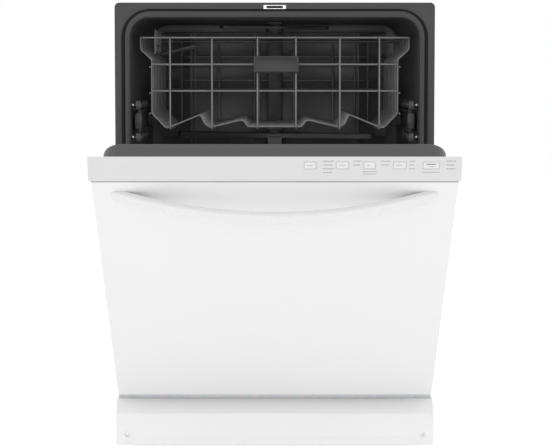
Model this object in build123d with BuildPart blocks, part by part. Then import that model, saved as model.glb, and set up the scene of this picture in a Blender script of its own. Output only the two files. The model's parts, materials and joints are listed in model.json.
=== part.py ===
"""Built-in dishwasher, 24 inch class, with its door standing part open.

Millimetres, +Z up, +X to the right as one faces the machine, +Y to the back.
The origin is on the floor under the middle of the machine.
"""

from build123d import *
from math import atan2, cos, degrees, pi, radians, sin
import os

os.makedirs("parts", exist_ok=True)

# ---- driving dimensions -------------------------------------------------------------------------
FACE_Y = -20.0                      # front face of the tub's flange
FLANGE_HALF, FLANGE_TOP, FLANGE_T, FLANGE_R = 303.0, 846.0, 4.0, 9.0
OPEN_HALF, OPEN_BOTTOM, OPEN_TOP, OPEN_R = 274.5, 178.0, 818.0, 38.0
TUB_DEPTH, TUB_REAR_HALF, TUB_WALL = 523.0, 265.0, 2.5
BACK_Y = FACE_Y + 572.0             # rearmost face of the machine

PIVOT_Y, PIVOT_Z = FACE_Y + 7.0, 171.0
DOOR_REST = 49.6                    # how far the door stands open, in degrees
DOOR_FRONT = 60.0                   # outer panel's face, measured out from the pivot plane
DOOR_HALF, DOOR_LOW, DOOR_HIGH = 301.0, -45.0, 634.5
SHEET = 1.2
LINER_HALF, LINER_TOP, LINER_BACK, LINER_R = 281.0, 674.5, 13.0, 31.0
PAN_HALF, PAN_LOW, PAN_HIGH, PAN_BACK = 262.0, 22.0, 630.0, -9.0
CONSOLE_HALF, CONSOLE_WALL = 304.0, 2.5
CONSOLE_LOW, CONSOLE_BACK = 636.5, 40.3
FASCIA_LOW, FASCIA_HIGH = (639.0, 62.0), (677.7, 40.0)     # (height, outward) of its two edges

WIRE_R = 2.1                        # coated rack wire
GAP = 0.05                          # clearance where two wires meet
RACK_FRONT, RACK_BACK = FACE_Y + 45.0, FACE_Y + 495.0
RACK_TOP, RACK_LOW, RACK_HALF = 781.0, 609.0, 236.0

# ---- planes of the door -------------------------------------------------------------------------
tilt = radians(DOOR_REST)
DOOR = Plane(origin=(0, PIVOT_Y, PIVOT_Z), x_dir=(1, 0, 0), z_dir=(0, -cos(tilt), -sin(tilt)))
FASCIA_TILT = degrees(atan2(FASCIA_LOW[1] - FASCIA_HIGH[1], FASCIA_HIGH[0] - FASCIA_LOW[0]))
FASCIA_MID = ((FASCIA_LOW[0] + FASCIA_HIGH[0]) / 2, (FASCIA_LOW[1] + FASCIA_HIGH[1]) / 2)
FASCIA = Plane(DOOR.location * Location((0, *FASCIA_MID), (-FASCIA_TILT, 0, 0)))


def block(low, high, mode=Mode.ADD):
    """A box between two corners, in the coordinates of the part being built."""
    size = [b - a for a, b in zip(low, high)]
    with Locations(tuple((a + b) / 2 for a, b in zip(low, high))):
        Box(*size, mode=mode)


def disc(centre, axis, radius, length, mode=Mode.ADD):
    """A cylinder that starts at centre and runs along axis, in world coordinates."""
    with BuildSketch(Plane(origin=centre, z_dir=axis)) as end:
        Circle(radius)
    extrude(end.sketch, amount=length, mode=mode)


def rod(start, end, radius=WIRE_R):
    """A straight length of wire as its own solid."""
    run = Vector(*end) - Vector(*start)
    with BuildPart() as piece:
        disc(start, tuple(run), radius, run.length)
    return piece.part


def bent_wire(points, corner, radius=WIRE_R):
    """A wire bent to a radius at every corner of its route, as its own solid."""
    with BuildPart() as piece:
        with BuildLine() as route:
            FilletPolyline(*points, radius=corner)
        with BuildSketch(Plane(origin=route.line @ 0, z_dir=route.line % 0)):
            Circle(radius)
        sweep(path=route.line)
    return piece.part


def save(shape, name):
    """Label a finished piece and write its STEP file."""
    shape.label = name
    export_step(shape, f"parts/{name}.step")


def group(solids, name):
    """Several separate solids that make one node."""
    save(Compound(children=list(solids)), name)


# ---- tub ------------------------------------------------------------------------------------------
DISH_Y, DISH_R, SUMP_R, SUMP_Z = FACE_Y + 330.0, 150.0, 62.0, 158.0
STRIKE_Z = 837.5                    # middle of the latch's window
FLANGE_CUT_Z = 222.0                # the flange is narrow below this, to clear the hinges
GROOVE_HALF, GROOVE_TOP, GROOVE_R = 287.0, 830.5, 51.0


def tub_section(plane, half, grow):
    """The tub's rounded cross-section at a plane, grown outwards by grow."""
    with BuildSketch(plane) as section:
        with Locations((0, (OPEN_BOTTOM + OPEN_TOP) / 2)):
            RectangleRounded(2 * (half + grow), OPEN_TOP - OPEN_BOTTOM + 2 * grow, OPEN_R + grow)
    return section.sketch.face()


def facing(y):
    """A plane across the machine at y, its own y axis up."""
    return Plane(origin=(0, y, 0), x_dir=(1, 0, 0), z_dir=(0, -1, 0))


with BuildPart() as tub:
    loft([tub_section(facing(FACE_Y), OPEN_HALF, TUB_WALL),
          tub_section(facing(FACE_Y + TUB_DEPTH + TUB_WALL), TUB_REAR_HALF, TUB_WALL)])
    with BuildSketch(facing(FACE_Y + FLANGE_T)) as flange:
        with BuildLine():
            Polyline((-276, 150), (276, 150), (276, FLANGE_CUT_Z), (FLANGE_HALF, FLANGE_CUT_Z),
                     (FLANGE_HALF, FLANGE_TOP), (-FLANGE_HALF, FLANGE_TOP),
                     (-FLANGE_HALF, FLANGE_CUT_Z), (-276, FLANGE_CUT_Z), close=True)
        make_face()
        fillet(flange.vertices().group_by(Axis.Y)[-1], FLANGE_R)
    extrude(amount=FLANGE_T)
    # the dished floor round the sump
    with BuildSketch(Plane(origin=(0, DISH_Y, 0), x_dir=(1, 0, 0), z_dir=(0, -1, 0))):
        with BuildLine():
            Polyline((0, OPEN_BOTTOM + 2), (DISH_R + 3, OPEN_BOTTOM + 2),
                     (DISH_R + 3, OPEN_BOTTOM - TUB_WALL), (SUMP_R + 3, SUMP_Z - TUB_WALL),
                     (0, SUMP_Z - TUB_WALL), close=True)
        make_face()
    revolve(axis=Axis((0, DISH_Y, 0), (0, 0, 1)))
    loft([tub_section(facing(FACE_Y - 1), OPEN_HALF, 0),
          tub_section(facing(FACE_Y + TUB_DEPTH), TUB_REAR_HALF, 0)], mode=Mode.SUBTRACT)
    with BuildSketch(Plane(origin=(0, DISH_Y, 0), x_dir=(1, 0, 0), z_dir=(0, -1, 0))):
        with BuildLine():
            Polyline((0, OPEN_BOTTOM + 3), (DISH_R, OPEN_BOTTOM + 3), (DISH_R, OPEN_BOTTOM),
                     (SUMP_R, SUMP_Z), (0, SUMP_Z), close=True)
        make_face()
    revolve(axis=Axis((0, DISH_Y, 0), (0, 0, 1)), mode=Mode.SUBTRACT)
    disc((0, DISH_Y, SUMP_Z - 10), (0, 0, 1), SUMP_R, 20, Mode.SUBTRACT)
    # window for the latch
    block((-16.5, FACE_Y - 1, STRIKE_Z - 2.5), (16.5, FACE_Y + FLANGE_T + 1, STRIKE_Z + 2.5),
          Mode.SUBTRACT)
    # pressed beads that stiffen the rear wall
    rear = FACE_Y + TUB_DEPTH
    for x in (-181.75, -173.25, -43.5, 43.5, 173.25, 181.75):
        block((x - 2, rear - 2, 215), (x + 2, rear + 0.5, 800))
    for z in (575, 698, 749, 800):
        block((-240, rear - 2, z - 2), (240, rear + 0.5, z + 2))
    # groove round the mouth that holds the seal
    with BuildSketch(facing(FACE_Y + 2.5)):
        with Locations((0, (GROOVE_TOP + 100) / 2)):
            RectangleRounded(2 * GROOVE_HALF + 6, GROOVE_TOP + 3 - 100 + 3, GROOVE_R + 3)
            RectangleRounded(2 * GROOVE_HALF - 6, GROOVE_TOP - 3 - 100 + 3, GROOVE_R - 3,
                             mode=Mode.SUBTRACT)
        with Locations((0, 115)):
            Rectangle(700, 240, mode=Mode.SUBTRACT)
    extrude(amount=3.5, mode=Mode.SUBTRACT)
save(tub.part, "tub")

with BuildPart() as door_gasket:
    with BuildSketch(facing(FACE_Y + 2.4)):
        with Locations((0, (GROOVE_TOP + 100) / 2)):
            RectangleRounded(2 * GROOVE_HALF + 5.6, GROOVE_TOP + 2.8 - 100 + 3, GROOVE_R + 2.8)
            RectangleRounded(2 * GROOVE_HALF - 5.6, GROOVE_TOP - 2.8 - 100 + 3, GROOVE_R - 2.8,
                             mode=Mode.SUBTRACT)
        with Locations((0, 116)):
            Rectangle(700, 240, mode=Mode.SUBTRACT)
    extrude(amount=4.4)
save(door_gasket.part, "door_gasket")

BLANKET_T, BLANKET_FROM, BLANKET_TO = 8.0, FACE_Y + 160.0, FACE_Y + 540.0
with BuildPart() as tub_insulation:
    with BuildSketch(facing(BLANKET_TO)):
        with Locations((0, (190 + OPEN_TOP) / 2)):
            RectangleRounded(2 * 287, OPEN_TOP - 190 + 2 * 14, 46)
    extrude(amount=BLANKET_TO - BLANKET_FROM)
    with BuildSketch(facing(BLANKET_TO - BLANKET_T)):
        with Locations((0, (160 + OPEN_TOP) / 2)):
            RectangleRounded(2 * 279, OPEN_TOP - 160 + 2 * 6, 42)
    extrude(amount=BLANKET_TO - BLANKET_FROM, mode=Mode.SUBTRACT)
    block((-300, FACE_Y, 100), (300, BACK_Y, 215), Mode.SUBTRACT)
save(tub_insulation.part, "tub_insulation")

# ---- base and its fittings ------------------------------------------------------------------------
BASE_LOW, BASE_HIGH, RAIL_IN, RAIL_OUT = 30.0, 62.0, 262.0, 286.0
BASE_FRONT, BASE_BACK = FACE_Y + 22.0, FACE_Y + 530.0
FOOT_X, FOOT_Y = 250.0, (FACE_Y + 36.0, FACE_Y + 516.0)
FOOT_STEM_R = 5.0
SPRING_TAIL = (FACE_Y + 46.5, 174.2)          # where the spring hooks on to the hinge arm
SPRING_ANCHOR = (FACE_Y + 95.0, 45.0)
SPRING_X, SPRING_R = 293.0, 6.0
OUTLET_Z, OUTLET_X, OUTLET_R = 46.0, -60.0, 9.5     # drain spigot, out through the rear member

with BuildPart() as base_frame:
    for side in (-1, 1):
        block((min(side * RAIL_IN, side * RAIL_OUT), BASE_FRONT, BASE_LOW),
              (max(side * RAIL_IN, side * RAIL_OUT), BASE_BACK, BASE_HIGH))
        disc((side * RAIL_OUT, *SPRING_ANCHOR), (side, 0, 0), 3.0, 12.0)
    block((-RAIL_IN, BASE_FRONT, BASE_LOW), (RAIL_IN, BASE_FRONT + 28, BASE_HIGH))
    block((-RAIL_IN, BASE_BACK - 28, BASE_LOW), (RAIL_IN, BASE_BACK, BASE_HIGH))
    # the channels are open underneath
    for side in (-1, 1):
        block((min(side * (RAIL_IN + 2), side * (RAIL_OUT - 2)), BASE_FRONT + 30, BASE_LOW - 1),
              (max(side * (RAIL_IN + 2), side * (RAIL_OUT - 2)), BASE_BACK - 30, BASE_HIGH - 2),
              Mode.SUBTRACT)
    for x in (-FOOT_X, FOOT_X):
        for y in FOOT_Y:
            disc((x, y, BASE_LOW - 1), (0, 0, 1), FOOT_STEM_R + 0.08, BASE_HIGH, Mode.SUBTRACT)
    disc((OUTLET_X, BASE_BACK - 30, OUTLET_Z), (0, 1, 0), 12.0, 40, Mode.SUBTRACT)
save(base_frame.part, "base_frame")


def saddle(y):
    """A strap under the tub with a leg down to each base rail and an upright beside the tub."""
    with BuildPart() as piece:
        block((-289, y, 168), (289, y + 34, 171.5))
        for side in (-1, 1):
            a, b = sorted((side * 287.2, side * 289.2))
            block((a, y, BASE_LOW + 6), (b, y + 34, 430))
            with Locations((side * 288.2, y + 17, 380), (side * 288.2, y + 17, 300)):
                Cylinder(3, 10, rotation=(0, 90, 0), mode=Mode.SUBTRACT)
    return piece.part


group([saddle(FACE_Y + 112), saddle(FACE_Y + 486)], "tub_saddles")


def bracket(side):
    """The fixed half of a hinge: a side plate with the pin that the door turns on."""
    plate = Plane(origin=(side * 280.5, 0, 0), x_dir=(0, 1, 0), z_dir=(1, 0, 0))
    with BuildPart() as piece:
        with BuildSketch(plate):
            with BuildLine():
                Polyline((PIVOT_Y - 4, PIVOT_Z - 9), (FACE_Y + 150, 190), (FACE_Y + 150, 290),
                         (FACE_Y + 112, 290), (PIVOT_Y - 8, PIVOT_Z + 8), close=True)
            make_face()
            with Locations((PIVOT_Y, PIVOT_Z)):
                Circle(10.5)
        extrude(amount=1.5, both=True)
        # foot that bolts to the upright
        a, b = sorted((side * 282.0, side * 287.1))
        block((a, FACE_Y + 116, 215), (b, FACE_Y + 142, 285))
        disc((side * 280.5, PIVOT_Y, PIVOT_Z), (side, 0, 0), 4.0, 8.5)
    return piece.part


group([bracket(-1), bracket(1)], "hinge_brackets")

BRACKET_X, BRACKET_Y = 170.0, FACE_Y + 22.0
with BuildPart() as mounting_brackets:
    for x in (-BRACKET_X, BRACKET_X):
        block((x - 14, FACE_Y + FLANGE_T, 844), (x + 14, FACE_Y + 36, 846))
        block((x - 14, FACE_Y + FLANGE_T, 828), (x + 14, FACE_Y + FLANGE_T + 2, 844))
        disc((x, BRACKET_Y, 840), (0, 0, 1), 2.5, 10, Mode.SUBTRACT)
save(mounting_brackets.part, "mounting_brackets")

with BuildPart() as latch_strike:
    block((-21.5, FACE_Y - 1.3, STRIKE_Z - 3.7), (21.5, FACE_Y - 0.02, STRIKE_Z + 4))
    block((-15.5, FACE_Y - 2, STRIKE_Z - 2.2), (15.5, FACE_Y + 1, STRIKE_Z + 2.2), Mode.SUBTRACT)
save(latch_strike.part, "latch_strike")

TOE_Y, TOE_HIGH, TOE_T = FACE_Y - 10.0, 62.6, 1.5
SCREW_X, SCREW_Z = 283.6, 20.0
with BuildPart() as kick_panel:
    with BuildSketch(Plane.YZ.offset(-304)):
        with BuildLine():
            Polyline((TOE_Y, 2), (TOE_Y, TOE_HIGH), (FACE_Y + 15, 88), (FACE_Y + 60, 88),
                     (FACE_Y + 60, 88 - TOE_T), (FACE_Y + 15.6, 88 - TOE_T),
                     (TOE_Y + TOE_T, TOE_HIGH - 0.7), (TOE_Y + TOE_T, 2), close=True)
        make_face()
    extrude(amount=608)
    for side in (-1, 1):
        disc((side * SCREW_X, TOE_Y - 2, SCREW_Z), (0, 1, 0), 2.4, 6, Mode.SUBTRACT)
save(kick_panel.part, "kick_panel")


def screw(x):
    with BuildPart() as piece:
        disc((x, TOE_Y - 0.02, SCREW_Z), (0, -1, 0), 4.4, 2.2)
        disc((x, TOE_Y - 0.02, SCREW_Z), (0, 1, 0), 2.1, 20)
        block((x - 2.5, TOE_Y - 3, SCREW_Z - 0.5), (x + 2.5, TOE_Y - 1.4, SCREW_Z + 0.5),
              Mode.SUBTRACT)
        block((x - 0.5, TOE_Y - 3, SCREW_Z - 2.5), (x + 0.5, TOE_Y - 1.4, SCREW_Z + 2.5),
              Mode.SUBTRACT)
    return piece.part


group([screw(-SCREW_X), screw(SCREW_X)], "kick_panel_screws")

BOX_X, BOX_Y, KNOCKOUT_R = 215.0, FACE_Y + 95.0, 11.0
with BuildPart() as junction_box:
    block((BOX_X - 38, BOX_Y - 35, 34), (BOX_X + 38, BOX_Y + 35, 80))
    block((BOX_X - 36.5, BOX_Y - 33.5, 35.5), (BOX_X + 36.5, BOX_Y + 33.5, 78.5), Mode.SUBTRACT)
    disc((BOX_X, BOX_Y, 30), (0, 0, 1), KNOCKOUT_R, 8, Mode.SUBTRACT)
    with Locations((BOX_X, BOX_Y, 80.6)):
        Box(40, 12, 1.2)
save(junction_box.part, "junction_box")

VALVE_X, VALVE_Y, VALVE_R = -205.0, FACE_Y + 105.0, 9.2
with BuildPart() as inlet_valve:
    block((VALVE_X - 22, VALVE_Y - 20, 64), (VALVE_X + 22, VALVE_Y + 20, 100))
    disc((VALVE_X, VALVE_Y, 44), (0, 0, 1), 13.5, 20)
    disc((VALVE_X, VALVE_Y, 43), (0, 0, 1), VALVE_R, 17, Mode.SUBTRACT)
    disc((VALVE_X - 22, VALVE_Y, 84), (-1, 0, 0), 12, 18)
    disc((VALVE_X, VALVE_Y + 20, 84), (0, 1, 0), 7, 26)
    fillet(inlet_valve.edges().filter_by(Axis.Z).group_by(SortBy.LENGTH)[-1], 3)
save(inlet_valve.part, "inlet_valve")

# ---- sump, pumps, heater ---------------------------------------------------------------------------
with BuildPart() as sump:
    with BuildSketch(Plane(origin=(0, DISH_Y, 0), x_dir=(1, 0, 0), z_dir=(0, -1, 0))):
        with BuildLine():
            Polyline((0, 96), (48, 96), (58, 110), (58, 150), (72, 150), (72, 155.3), (54, 155.3),
                     (54, 112), (46, 100), (0, 100), close=True)
        make_face()
    revolve(axis=Axis((0, DISH_Y, 0), (0, 0, 1)))
save(sump.part, "sump")

PUMP_Z = 104.0
with BuildPart() as wash_pump:
    disc((59, DISH_Y, PUMP_Z), (1, 0, 0), 33, 30)
    disc((89, DISH_Y, PUMP_Z), (1, 0, 0), 26, 14)
    disc((103, DISH_Y, PUMP_Z), (1, 0, 0), 30, 72)
    disc((175, DISH_Y, PUMP_Z), (1, 0, 0), 12, 6)
    for k in range(8):
        turn = k * pi / 4
        with Locations((139, DISH_Y + 30 * cos(turn), PUMP_Z + 30 * sin(turn))):
            Box(60, 4, 4)
    block((104, DISH_Y - 24, 64), (168, DISH_Y + 24, 80))
save(wash_pump.part, "wash_pump")

with BuildPart() as drain_pump:
    disc((OUTLET_X, DISH_Y + 70, 108), (0, 1, 0), 26, 30)
    disc((OUTLET_X, DISH_Y + 100, 108), (0, 1, 0), 20, 44)
    disc((OUTLET_X, DISH_Y + 85, 90), (0, 0, -1), 8.0, 44)
    with Locations((OUTLET_X, DISH_Y + 85, OUTLET_Z)):
        Sphere(11)
    disc((OUTLET_X, DISH_Y + 85, OUTLET_Z), (0, 1, 0), OUTLET_R, BACK_Y - DISH_Y - 85)
    disc((OUTLET_X, BACK_Y - 46, OUTLET_Z), (0, 1, 0), 11.5, 6)
save(drain_pump.part, "drain_pump")

HEATER_Z, HEATER_R = 192.0, 3.8
with BuildPart() as heating_element:
    with BuildLine() as loop:
        FilletPolyline((-20, FACE_Y + 440, HEATER_Z), (-185, FACE_Y + 440, HEATER_Z),
                       (-185, FACE_Y + 70, HEATER_Z), (185, FACE_Y + 70, HEATER_Z),
                       (185, FACE_Y + 440, HEATER_Z), (20, FACE_Y + 440, HEATER_Z), radius=60)
    with BuildSketch(Plane(origin=loop.line @ 0, z_dir=loop.line % 0)):
        Circle(HEATER_R)
    sweep(path=loop.line)
    for x in (-20, 20):
        disc((x, FACE_Y + 440, OPEN_BOTTOM + 0.05), (0, 0, 1), 5.0, HEATER_Z + 4 - OPEN_BOTTOM)
save(heating_element.part, "heating_element")

with BuildPart() as filter_plate:
    with BuildSketch(Plane(origin=(0, DISH_Y, 0), x_dir=(1, 0, 0), z_dir=(0, -1, 0))):
        with BuildLine():
            Polyline((37, 160), (60, 160), (146, 178.6), (146, 180.4), (60, 161.8), (37, 161.8),
                     close=True)
        make_face()
    revolve(axis=Axis((0, DISH_Y, 0), (0, 0, 1)))
    with Locations((0, DISH_Y, 0)):
        with PolarLocations(90, 12):
            Cylinder(8, 500, mode=Mode.SUBTRACT)
save(filter_plate.part, "filter_plate")

with BuildPart() as filter_cylinder:
    disc((0, DISH_Y, 108), (0, 0, 1), 35.5, 78)
    disc((0, DISH_Y, 107), (0, 0, 1), 33.5, 74, Mode.SUBTRACT)
    disc((0, DISH_Y, 186), (0, 0, 1), 30, 4)
    disc((0, DISH_Y, 190), (0, 0, 1), 9, 6)
    block((-28, DISH_Y - 3, 186), (28, DISH_Y + 3, 196))
save(filter_cylinder.part, "filter_cylinder")

FLOAT_X, FLOAT_Y = 130.0, FACE_Y + 40.0
with BuildPart() as float_cup:
    disc((FLOAT_X, FLOAT_Y, 184), (0, 0, 1), 16, 26)
    disc((FLOAT_X, FLOAT_Y, 183), (0, 0, 1), 14, 24, Mode.SUBTRACT)
    disc((FLOAT_X, FLOAT_Y, 180), (0, 0, 1), 4, 29)
    fillet(float_cup.faces().sort_by(Axis.Z)[-1].edges(), 4)
save(float_cup.part, "overflow_float")

# ---- wash arms -------------------------------------------------------------------------------------
ARM_Y, LOW_ARM_Y = FACE_Y + 265.0, FACE_Y + 258.0


def spray_arm(centre, reach, height, twist, bore):
    """A hollow-looking two-bladed arm that spins on a hub."""
    x, y, z = centre
    blade = Plane(origin=(x, y, z), x_dir=(cos(radians(twist)), sin(radians(twist)), 0))
    with BuildPart() as piece:
        with BuildSketch(blade):
            with BuildLine():
                Spline((-reach, 12), (-reach * 0.45, 17), (0, 26), (reach * 0.45, 17), (reach, 12))
                ThreePointArc((reach, 12), (reach + 12, 0), (reach, -12))
                Spline((reach, -12), (reach * 0.45, -17), (0, -26), (-reach * 0.45, -17),
                       (-reach, -12))
                ThreePointArc((-reach, -12), (-reach - 12, 0), (-reach, 12))
            make_face()
        extrude(amount=height)
        fillet(piece.faces().sort_by(Axis.Z)[-1].edges(), height * 0.3)
        disc((x, y, z + height), (0, 0, 1), 17, 4)
        disc((x, y, z - 5), (0, 0, 1), 17, 5)
        disc((x, y, z - 6), (0, 0, 1), bore, height + 12, Mode.SUBTRACT)
    return piece.part


save(spray_arm((0, LOW_ARM_Y, 212), 185, 12, 28, 10.1), "lower_spray_arm")
save(spray_arm((0, ARM_Y, 582), 200, 11, -20, 7.1), "middle_spray_arm")
save(spray_arm((0, ARM_Y, 802), 105, 7, 20, 6.1), "ceiling_spray_arm")

REAR_Y = FACE_Y + TUB_DEPTH
with BuildPart() as feed_tube:
    block((-15, REAR_Y - 18, 181), (15, REAR_Y - 2.3, 817))
    block((-15, ARM_Y - 14, 813.2), (15, REAR_Y - 10, 817))
    disc((0, ARM_Y, 814), (0, 0, -1), 6.0, 20)
    disc((0, ARM_Y, 796.8), (0, 0, -1), 9.0, 3)
    disc((0, REAR_Y - 18, 606), (0, -1, 0), 13, 5)
    fillet(feed_tube.edges().filter_by(Axis.Z).group_by(SortBy.LENGTH)[-1], 5)

with BuildPart() as lower_arm_hub:
    disc((0, LOW_ARM_Y, 171), (0, 0, 1), 22, 35)
    disc((0, LOW_ARM_Y, 206), (0, 0, 1), 10.0, 22.6)
    disc((0, LOW_ARM_Y, 228.6), (0, 0, 1), 14, 4)
group([feed_tube.part, lower_arm_hub.part], "spray_feed")

TUBE_LOW, TUBE_HIGH = 597.6, 608.2
with BuildPart() as middle_feed_tube:
    block((-13, ARM_Y - 16, TUBE_LOW), (13, REAR_Y - 24, TUBE_HIGH))
    disc((0, ARM_Y, TUBE_LOW), (0, 0, -1), 7.0, 22)
    disc((0, ARM_Y, 576.5), (0, 0, -1), 10.0, 3.5)
save(middle_feed_tube.part, "middle_feed_tube")

# ---- rails and their rollers -----------------------------------------------------------------------
RAIL_X, RAIL_LOW_Z, RAIL_HIGH_Z = (257.0, 263.5), 600.0, 642.0
ROLLER_R, ROLLER_X = 9.3, (256.0, 266.0)
STUD_END_X = ROLLER_X[0] - 2.6         # inner end of a roller stud
ROLLER_Z = (RAIL_LOW_Z - ROLLER_R - 0.35, RAIL_HIGH_Z + ROLLER_R + 0.35)
ROLLER_Y = (FACE_Y + 31.0, FACE_Y + 195.0)
SPINDLE_R = 3.5


def rail(side):
    """A channel that slides between the rollers and carries the rack on its inner side."""
    a, b = sorted((side * RAIL_X[0], side * RAIL_X[1]))
    with BuildPart() as piece:
        block((a, FACE_Y + 42, RAIL_LOW_Z), (b, FACE_Y + 480, RAIL_HIGH_Z))
        c, d = sorted((side * (RAIL_X[0] - 1), side * (RAIL_X[0] + 3)))
        block((c, FACE_Y + 41, RAIL_LOW_Z + 6), (d, FACE_Y + 481, RAIL_HIGH_Z - 6), Mode.SUBTRACT)
        e, f = sorted((side * 254.5, side * 268.5))
        block((e, FACE_Y + 36, RAIL_LOW_Z + 12), (f, FACE_Y + 42, RAIL_HIGH_Z - 12))
    return piece.part


group([rail(-1), rail(1)], "slide_rails")


def stud(side, y, z):
    """A shouldered spindle on the tub's side wall, with a domed head inside the roller."""
    wall = OPEN_HALF - (OPEN_HALF - TUB_REAR_HALF) * (y - FACE_Y) / TUB_DEPTH
    with BuildPart() as piece:
        disc((side * STUD_END_X, y, z), (side, 0, 0), SPINDLE_R, wall - ROLLER_X[0] + 2.4)
        disc((side * STUD_END_X, y, z), (side, 0, 0), 5.0, 2.4)
        disc((side * (ROLLER_X[1] + 0.3), y, z), (side, 0, 0), 6.5, 2.0)
    return piece.part


group([stud(s, y, z) for s in (-1, 1) for y in ROLLER_Y for z in ROLLER_Z], "roller_studs")


def roller(side, y, z, reach, radius, bore):
    """A plain wheel on the X axis, its groove turned in the rim."""
    with BuildPart() as piece:
        disc((side * reach[0], y, z), (side, 0, 0), radius, reach[1] - reach[0])
        disc((side * (reach[0] - 1), y, z), (side, 0, 0), bore, reach[1] - reach[0] + 2,
             Mode.SUBTRACT)
        chamfer(piece.edges().filter_by(GeomType.CIRCLE).sort_by(SortBy.RADIUS)[-2:], 0.8)
    return piece.part


for y, place in zip(ROLLER_Y, ("front", "rear")):
    for z, level in zip(ROLLER_Z, ("lower", "upper")):
        group([roller(s, y, z, ROLLER_X, ROLLER_R, SPINDLE_R + 0.08) for s in (-1, 1)],
              f"rail_rollers_{place}_{level}")

# ---- upper rack ------------------------------------------------------------------------------------
RIB_PROFILE = ((257, 778.8), (257, 758), (RACK_HALF, 739), (RACK_HALF, 636), (210, RACK_LOW),
               (203, RACK_LOW), (142.6, 634), (134, 616), (124, RACK_LOW), (68, 622.5), (60, 622),
               (51, RACK_LOW + 1.5))
RIB_RADII = (8, 8, 14, 12, 8, 4, 3.5, 5, 5, 5, 3)       # one for each corner after the first point
RIB_COUNT = 10
LEG_X = (-200.6, -120.4, -33.0, 40.6, 124.9, 200.6)


def rib(y):
    """One wavy cross-wire: up both sides, with hollows in the floor that glasses stand in."""
    right = [(x, y, z) for x, z in RIB_PROFILE]
    left = [(-x, y, z) for x, z in reversed(RIB_PROFILE)]
    with BuildPart() as piece:
        with BuildLine() as path:
            FilletPolyline(*right, *left, radius=RIB_RADII + RIB_RADII[::-1])
        with BuildSketch(Plane(origin=path.line @ 0, z_dir=path.line % 0)):
            Circle(WIRE_R)
        sweep(path=path.line)
    return piece.part


def rack_leg(x):
    """A lengthwise wire: down the front, back under the ribs and up the rear."""
    low = RACK_LOW - 2 * WIRE_R - GAP + (1.5 if abs(x) < RIB_PROFILE[-1][0] else 0)
    front, back = RACK_FRONT - 2 * WIRE_R - GAP, RACK_BACK + 2 * WIRE_R + GAP
    return bent_wire([(x, front, RACK_TOP), (x, front, low), (x, back, low), (x, back, RACK_TOP)], 8)


clear = WIRE_R + GAP
wires = [rib(RACK_FRONT + k * (RACK_BACK - RACK_FRONT) / (RIB_COUNT - 1)) for k in range(RIB_COUNT)]
wires += [rack_leg(x) for x in LEG_X]
for y in (RACK_FRONT, RACK_BACK):
    wires.append(rod((-260, y, RACK_TOP), (260, y, RACK_TOP)))
    for z in (679, 730):
        wires.append(rod((clear - RACK_HALF, y, z), (RACK_HALF - clear, y, z)))
for side in (-1, 1):
    wires.append(rod((side * 257, RACK_FRONT + clear, RACK_TOP),
                     (side * 257, RACK_BACK - clear, RACK_TOP)))
    for z in (636, 675, 725):
        outer = side * (RACK_HALF + 2 * WIRE_R + GAP)
        wires.append(rod((outer, RACK_FRONT - 6, z), (outer, RACK_BACK + 6, z)))
BADGE_X, BADGE_HALF = 2.8, 43.5
with BuildPart() as rack_badge:
    block((BADGE_X - BADGE_HALF, RACK_FRONT - 12.5, 714),
          (BADGE_X + BADGE_HALF, RACK_FRONT - 3 * WIRE_R - 2 * GAP, 746))
    fillet(rack_badge.edges().filter_by(Axis.Y), 4)
save(rack_badge.part, "rack_badge")

# brackets that join the rack to the two rails
CARRIER_Y = (FACE_Y + 285.0, FACE_Y + 445.0)


def carrier(side, y):
    """A moulded clip between the rack's side wires and a rail."""
    inner, outer = RACK_HALF + 3 * WIRE_R + 2 * GAP, RAIL_X[0] + 2.2
    clip = STUD_END_X - 1.0            # the body passes inside the ends of the roller studs
    a, b = sorted((side * inner, side * clip))
    with BuildPart() as piece:
        block((a, y - 16, 604), (b, y + 16, 690))
        c, d = sorted((side * clip, side * outer))
        block((c, y - 14, RAIL_LOW_Z + 7), (d, y + 14, RAIL_HIGH_Z - 7))
    return piece.part


group(wires + [carrier(s, y) for s in (-1, 1) for y in CARRIER_Y], "upper_rack")

CUP_PIVOT_X, CUP_PIVOT_Z = -231.0, 752.0


def cup_shelf(y, length, width, raised):
    """A wire flap hinged on the rack's left side: a U-shaped wire with three cross-wires."""
    out = (0, 0, 1) if raised else (cos(radians(14)), 0, sin(radians(14)))

    def at(u, v):
        return (CUP_PIVOT_X + out[0] * u, y + v, CUP_PIVOT_Z + out[2] * u)

    frame = bent_wire([at(4, 0), at(width, 0), at(width, length), at(4, length)], 12, 1.7)
    side = 1.7 + GAP
    bars = [rod(at(u, side), at(u, length - side), 1.5) for u in (width * 0.34, width * 0.67)]
    hinge = rod(at(0, -6), at(0, length + 6), 2.0)
    return [frame, hinge] + bars


group(cup_shelf(FACE_Y + 70, 170, 45, True), "front_cup_shelf")
group(cup_shelf(FACE_Y + 275, 170, 72, False), "rear_cup_shelf")

# ---- lower rack ------------------------------------------------------------------------------------
LOW_FLOOR, LOW_RIM, LOW_HALF = 248.0, 395.0, 246.0
LOW_FRONT, LOW_BACK = FACE_Y + 48.0, FACE_Y + 492.0
LOW_RIBS, LOW_LEGS = 9, 5
WHEEL_R, WHEEL_X = 18.0, (228.0, 235.0)
WHEEL_Z = OPEN_BOTTOM + WHEEL_R + 1.2
WHEEL_Y = (FACE_Y + 128.0, FACE_Y + 440.0)

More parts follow.
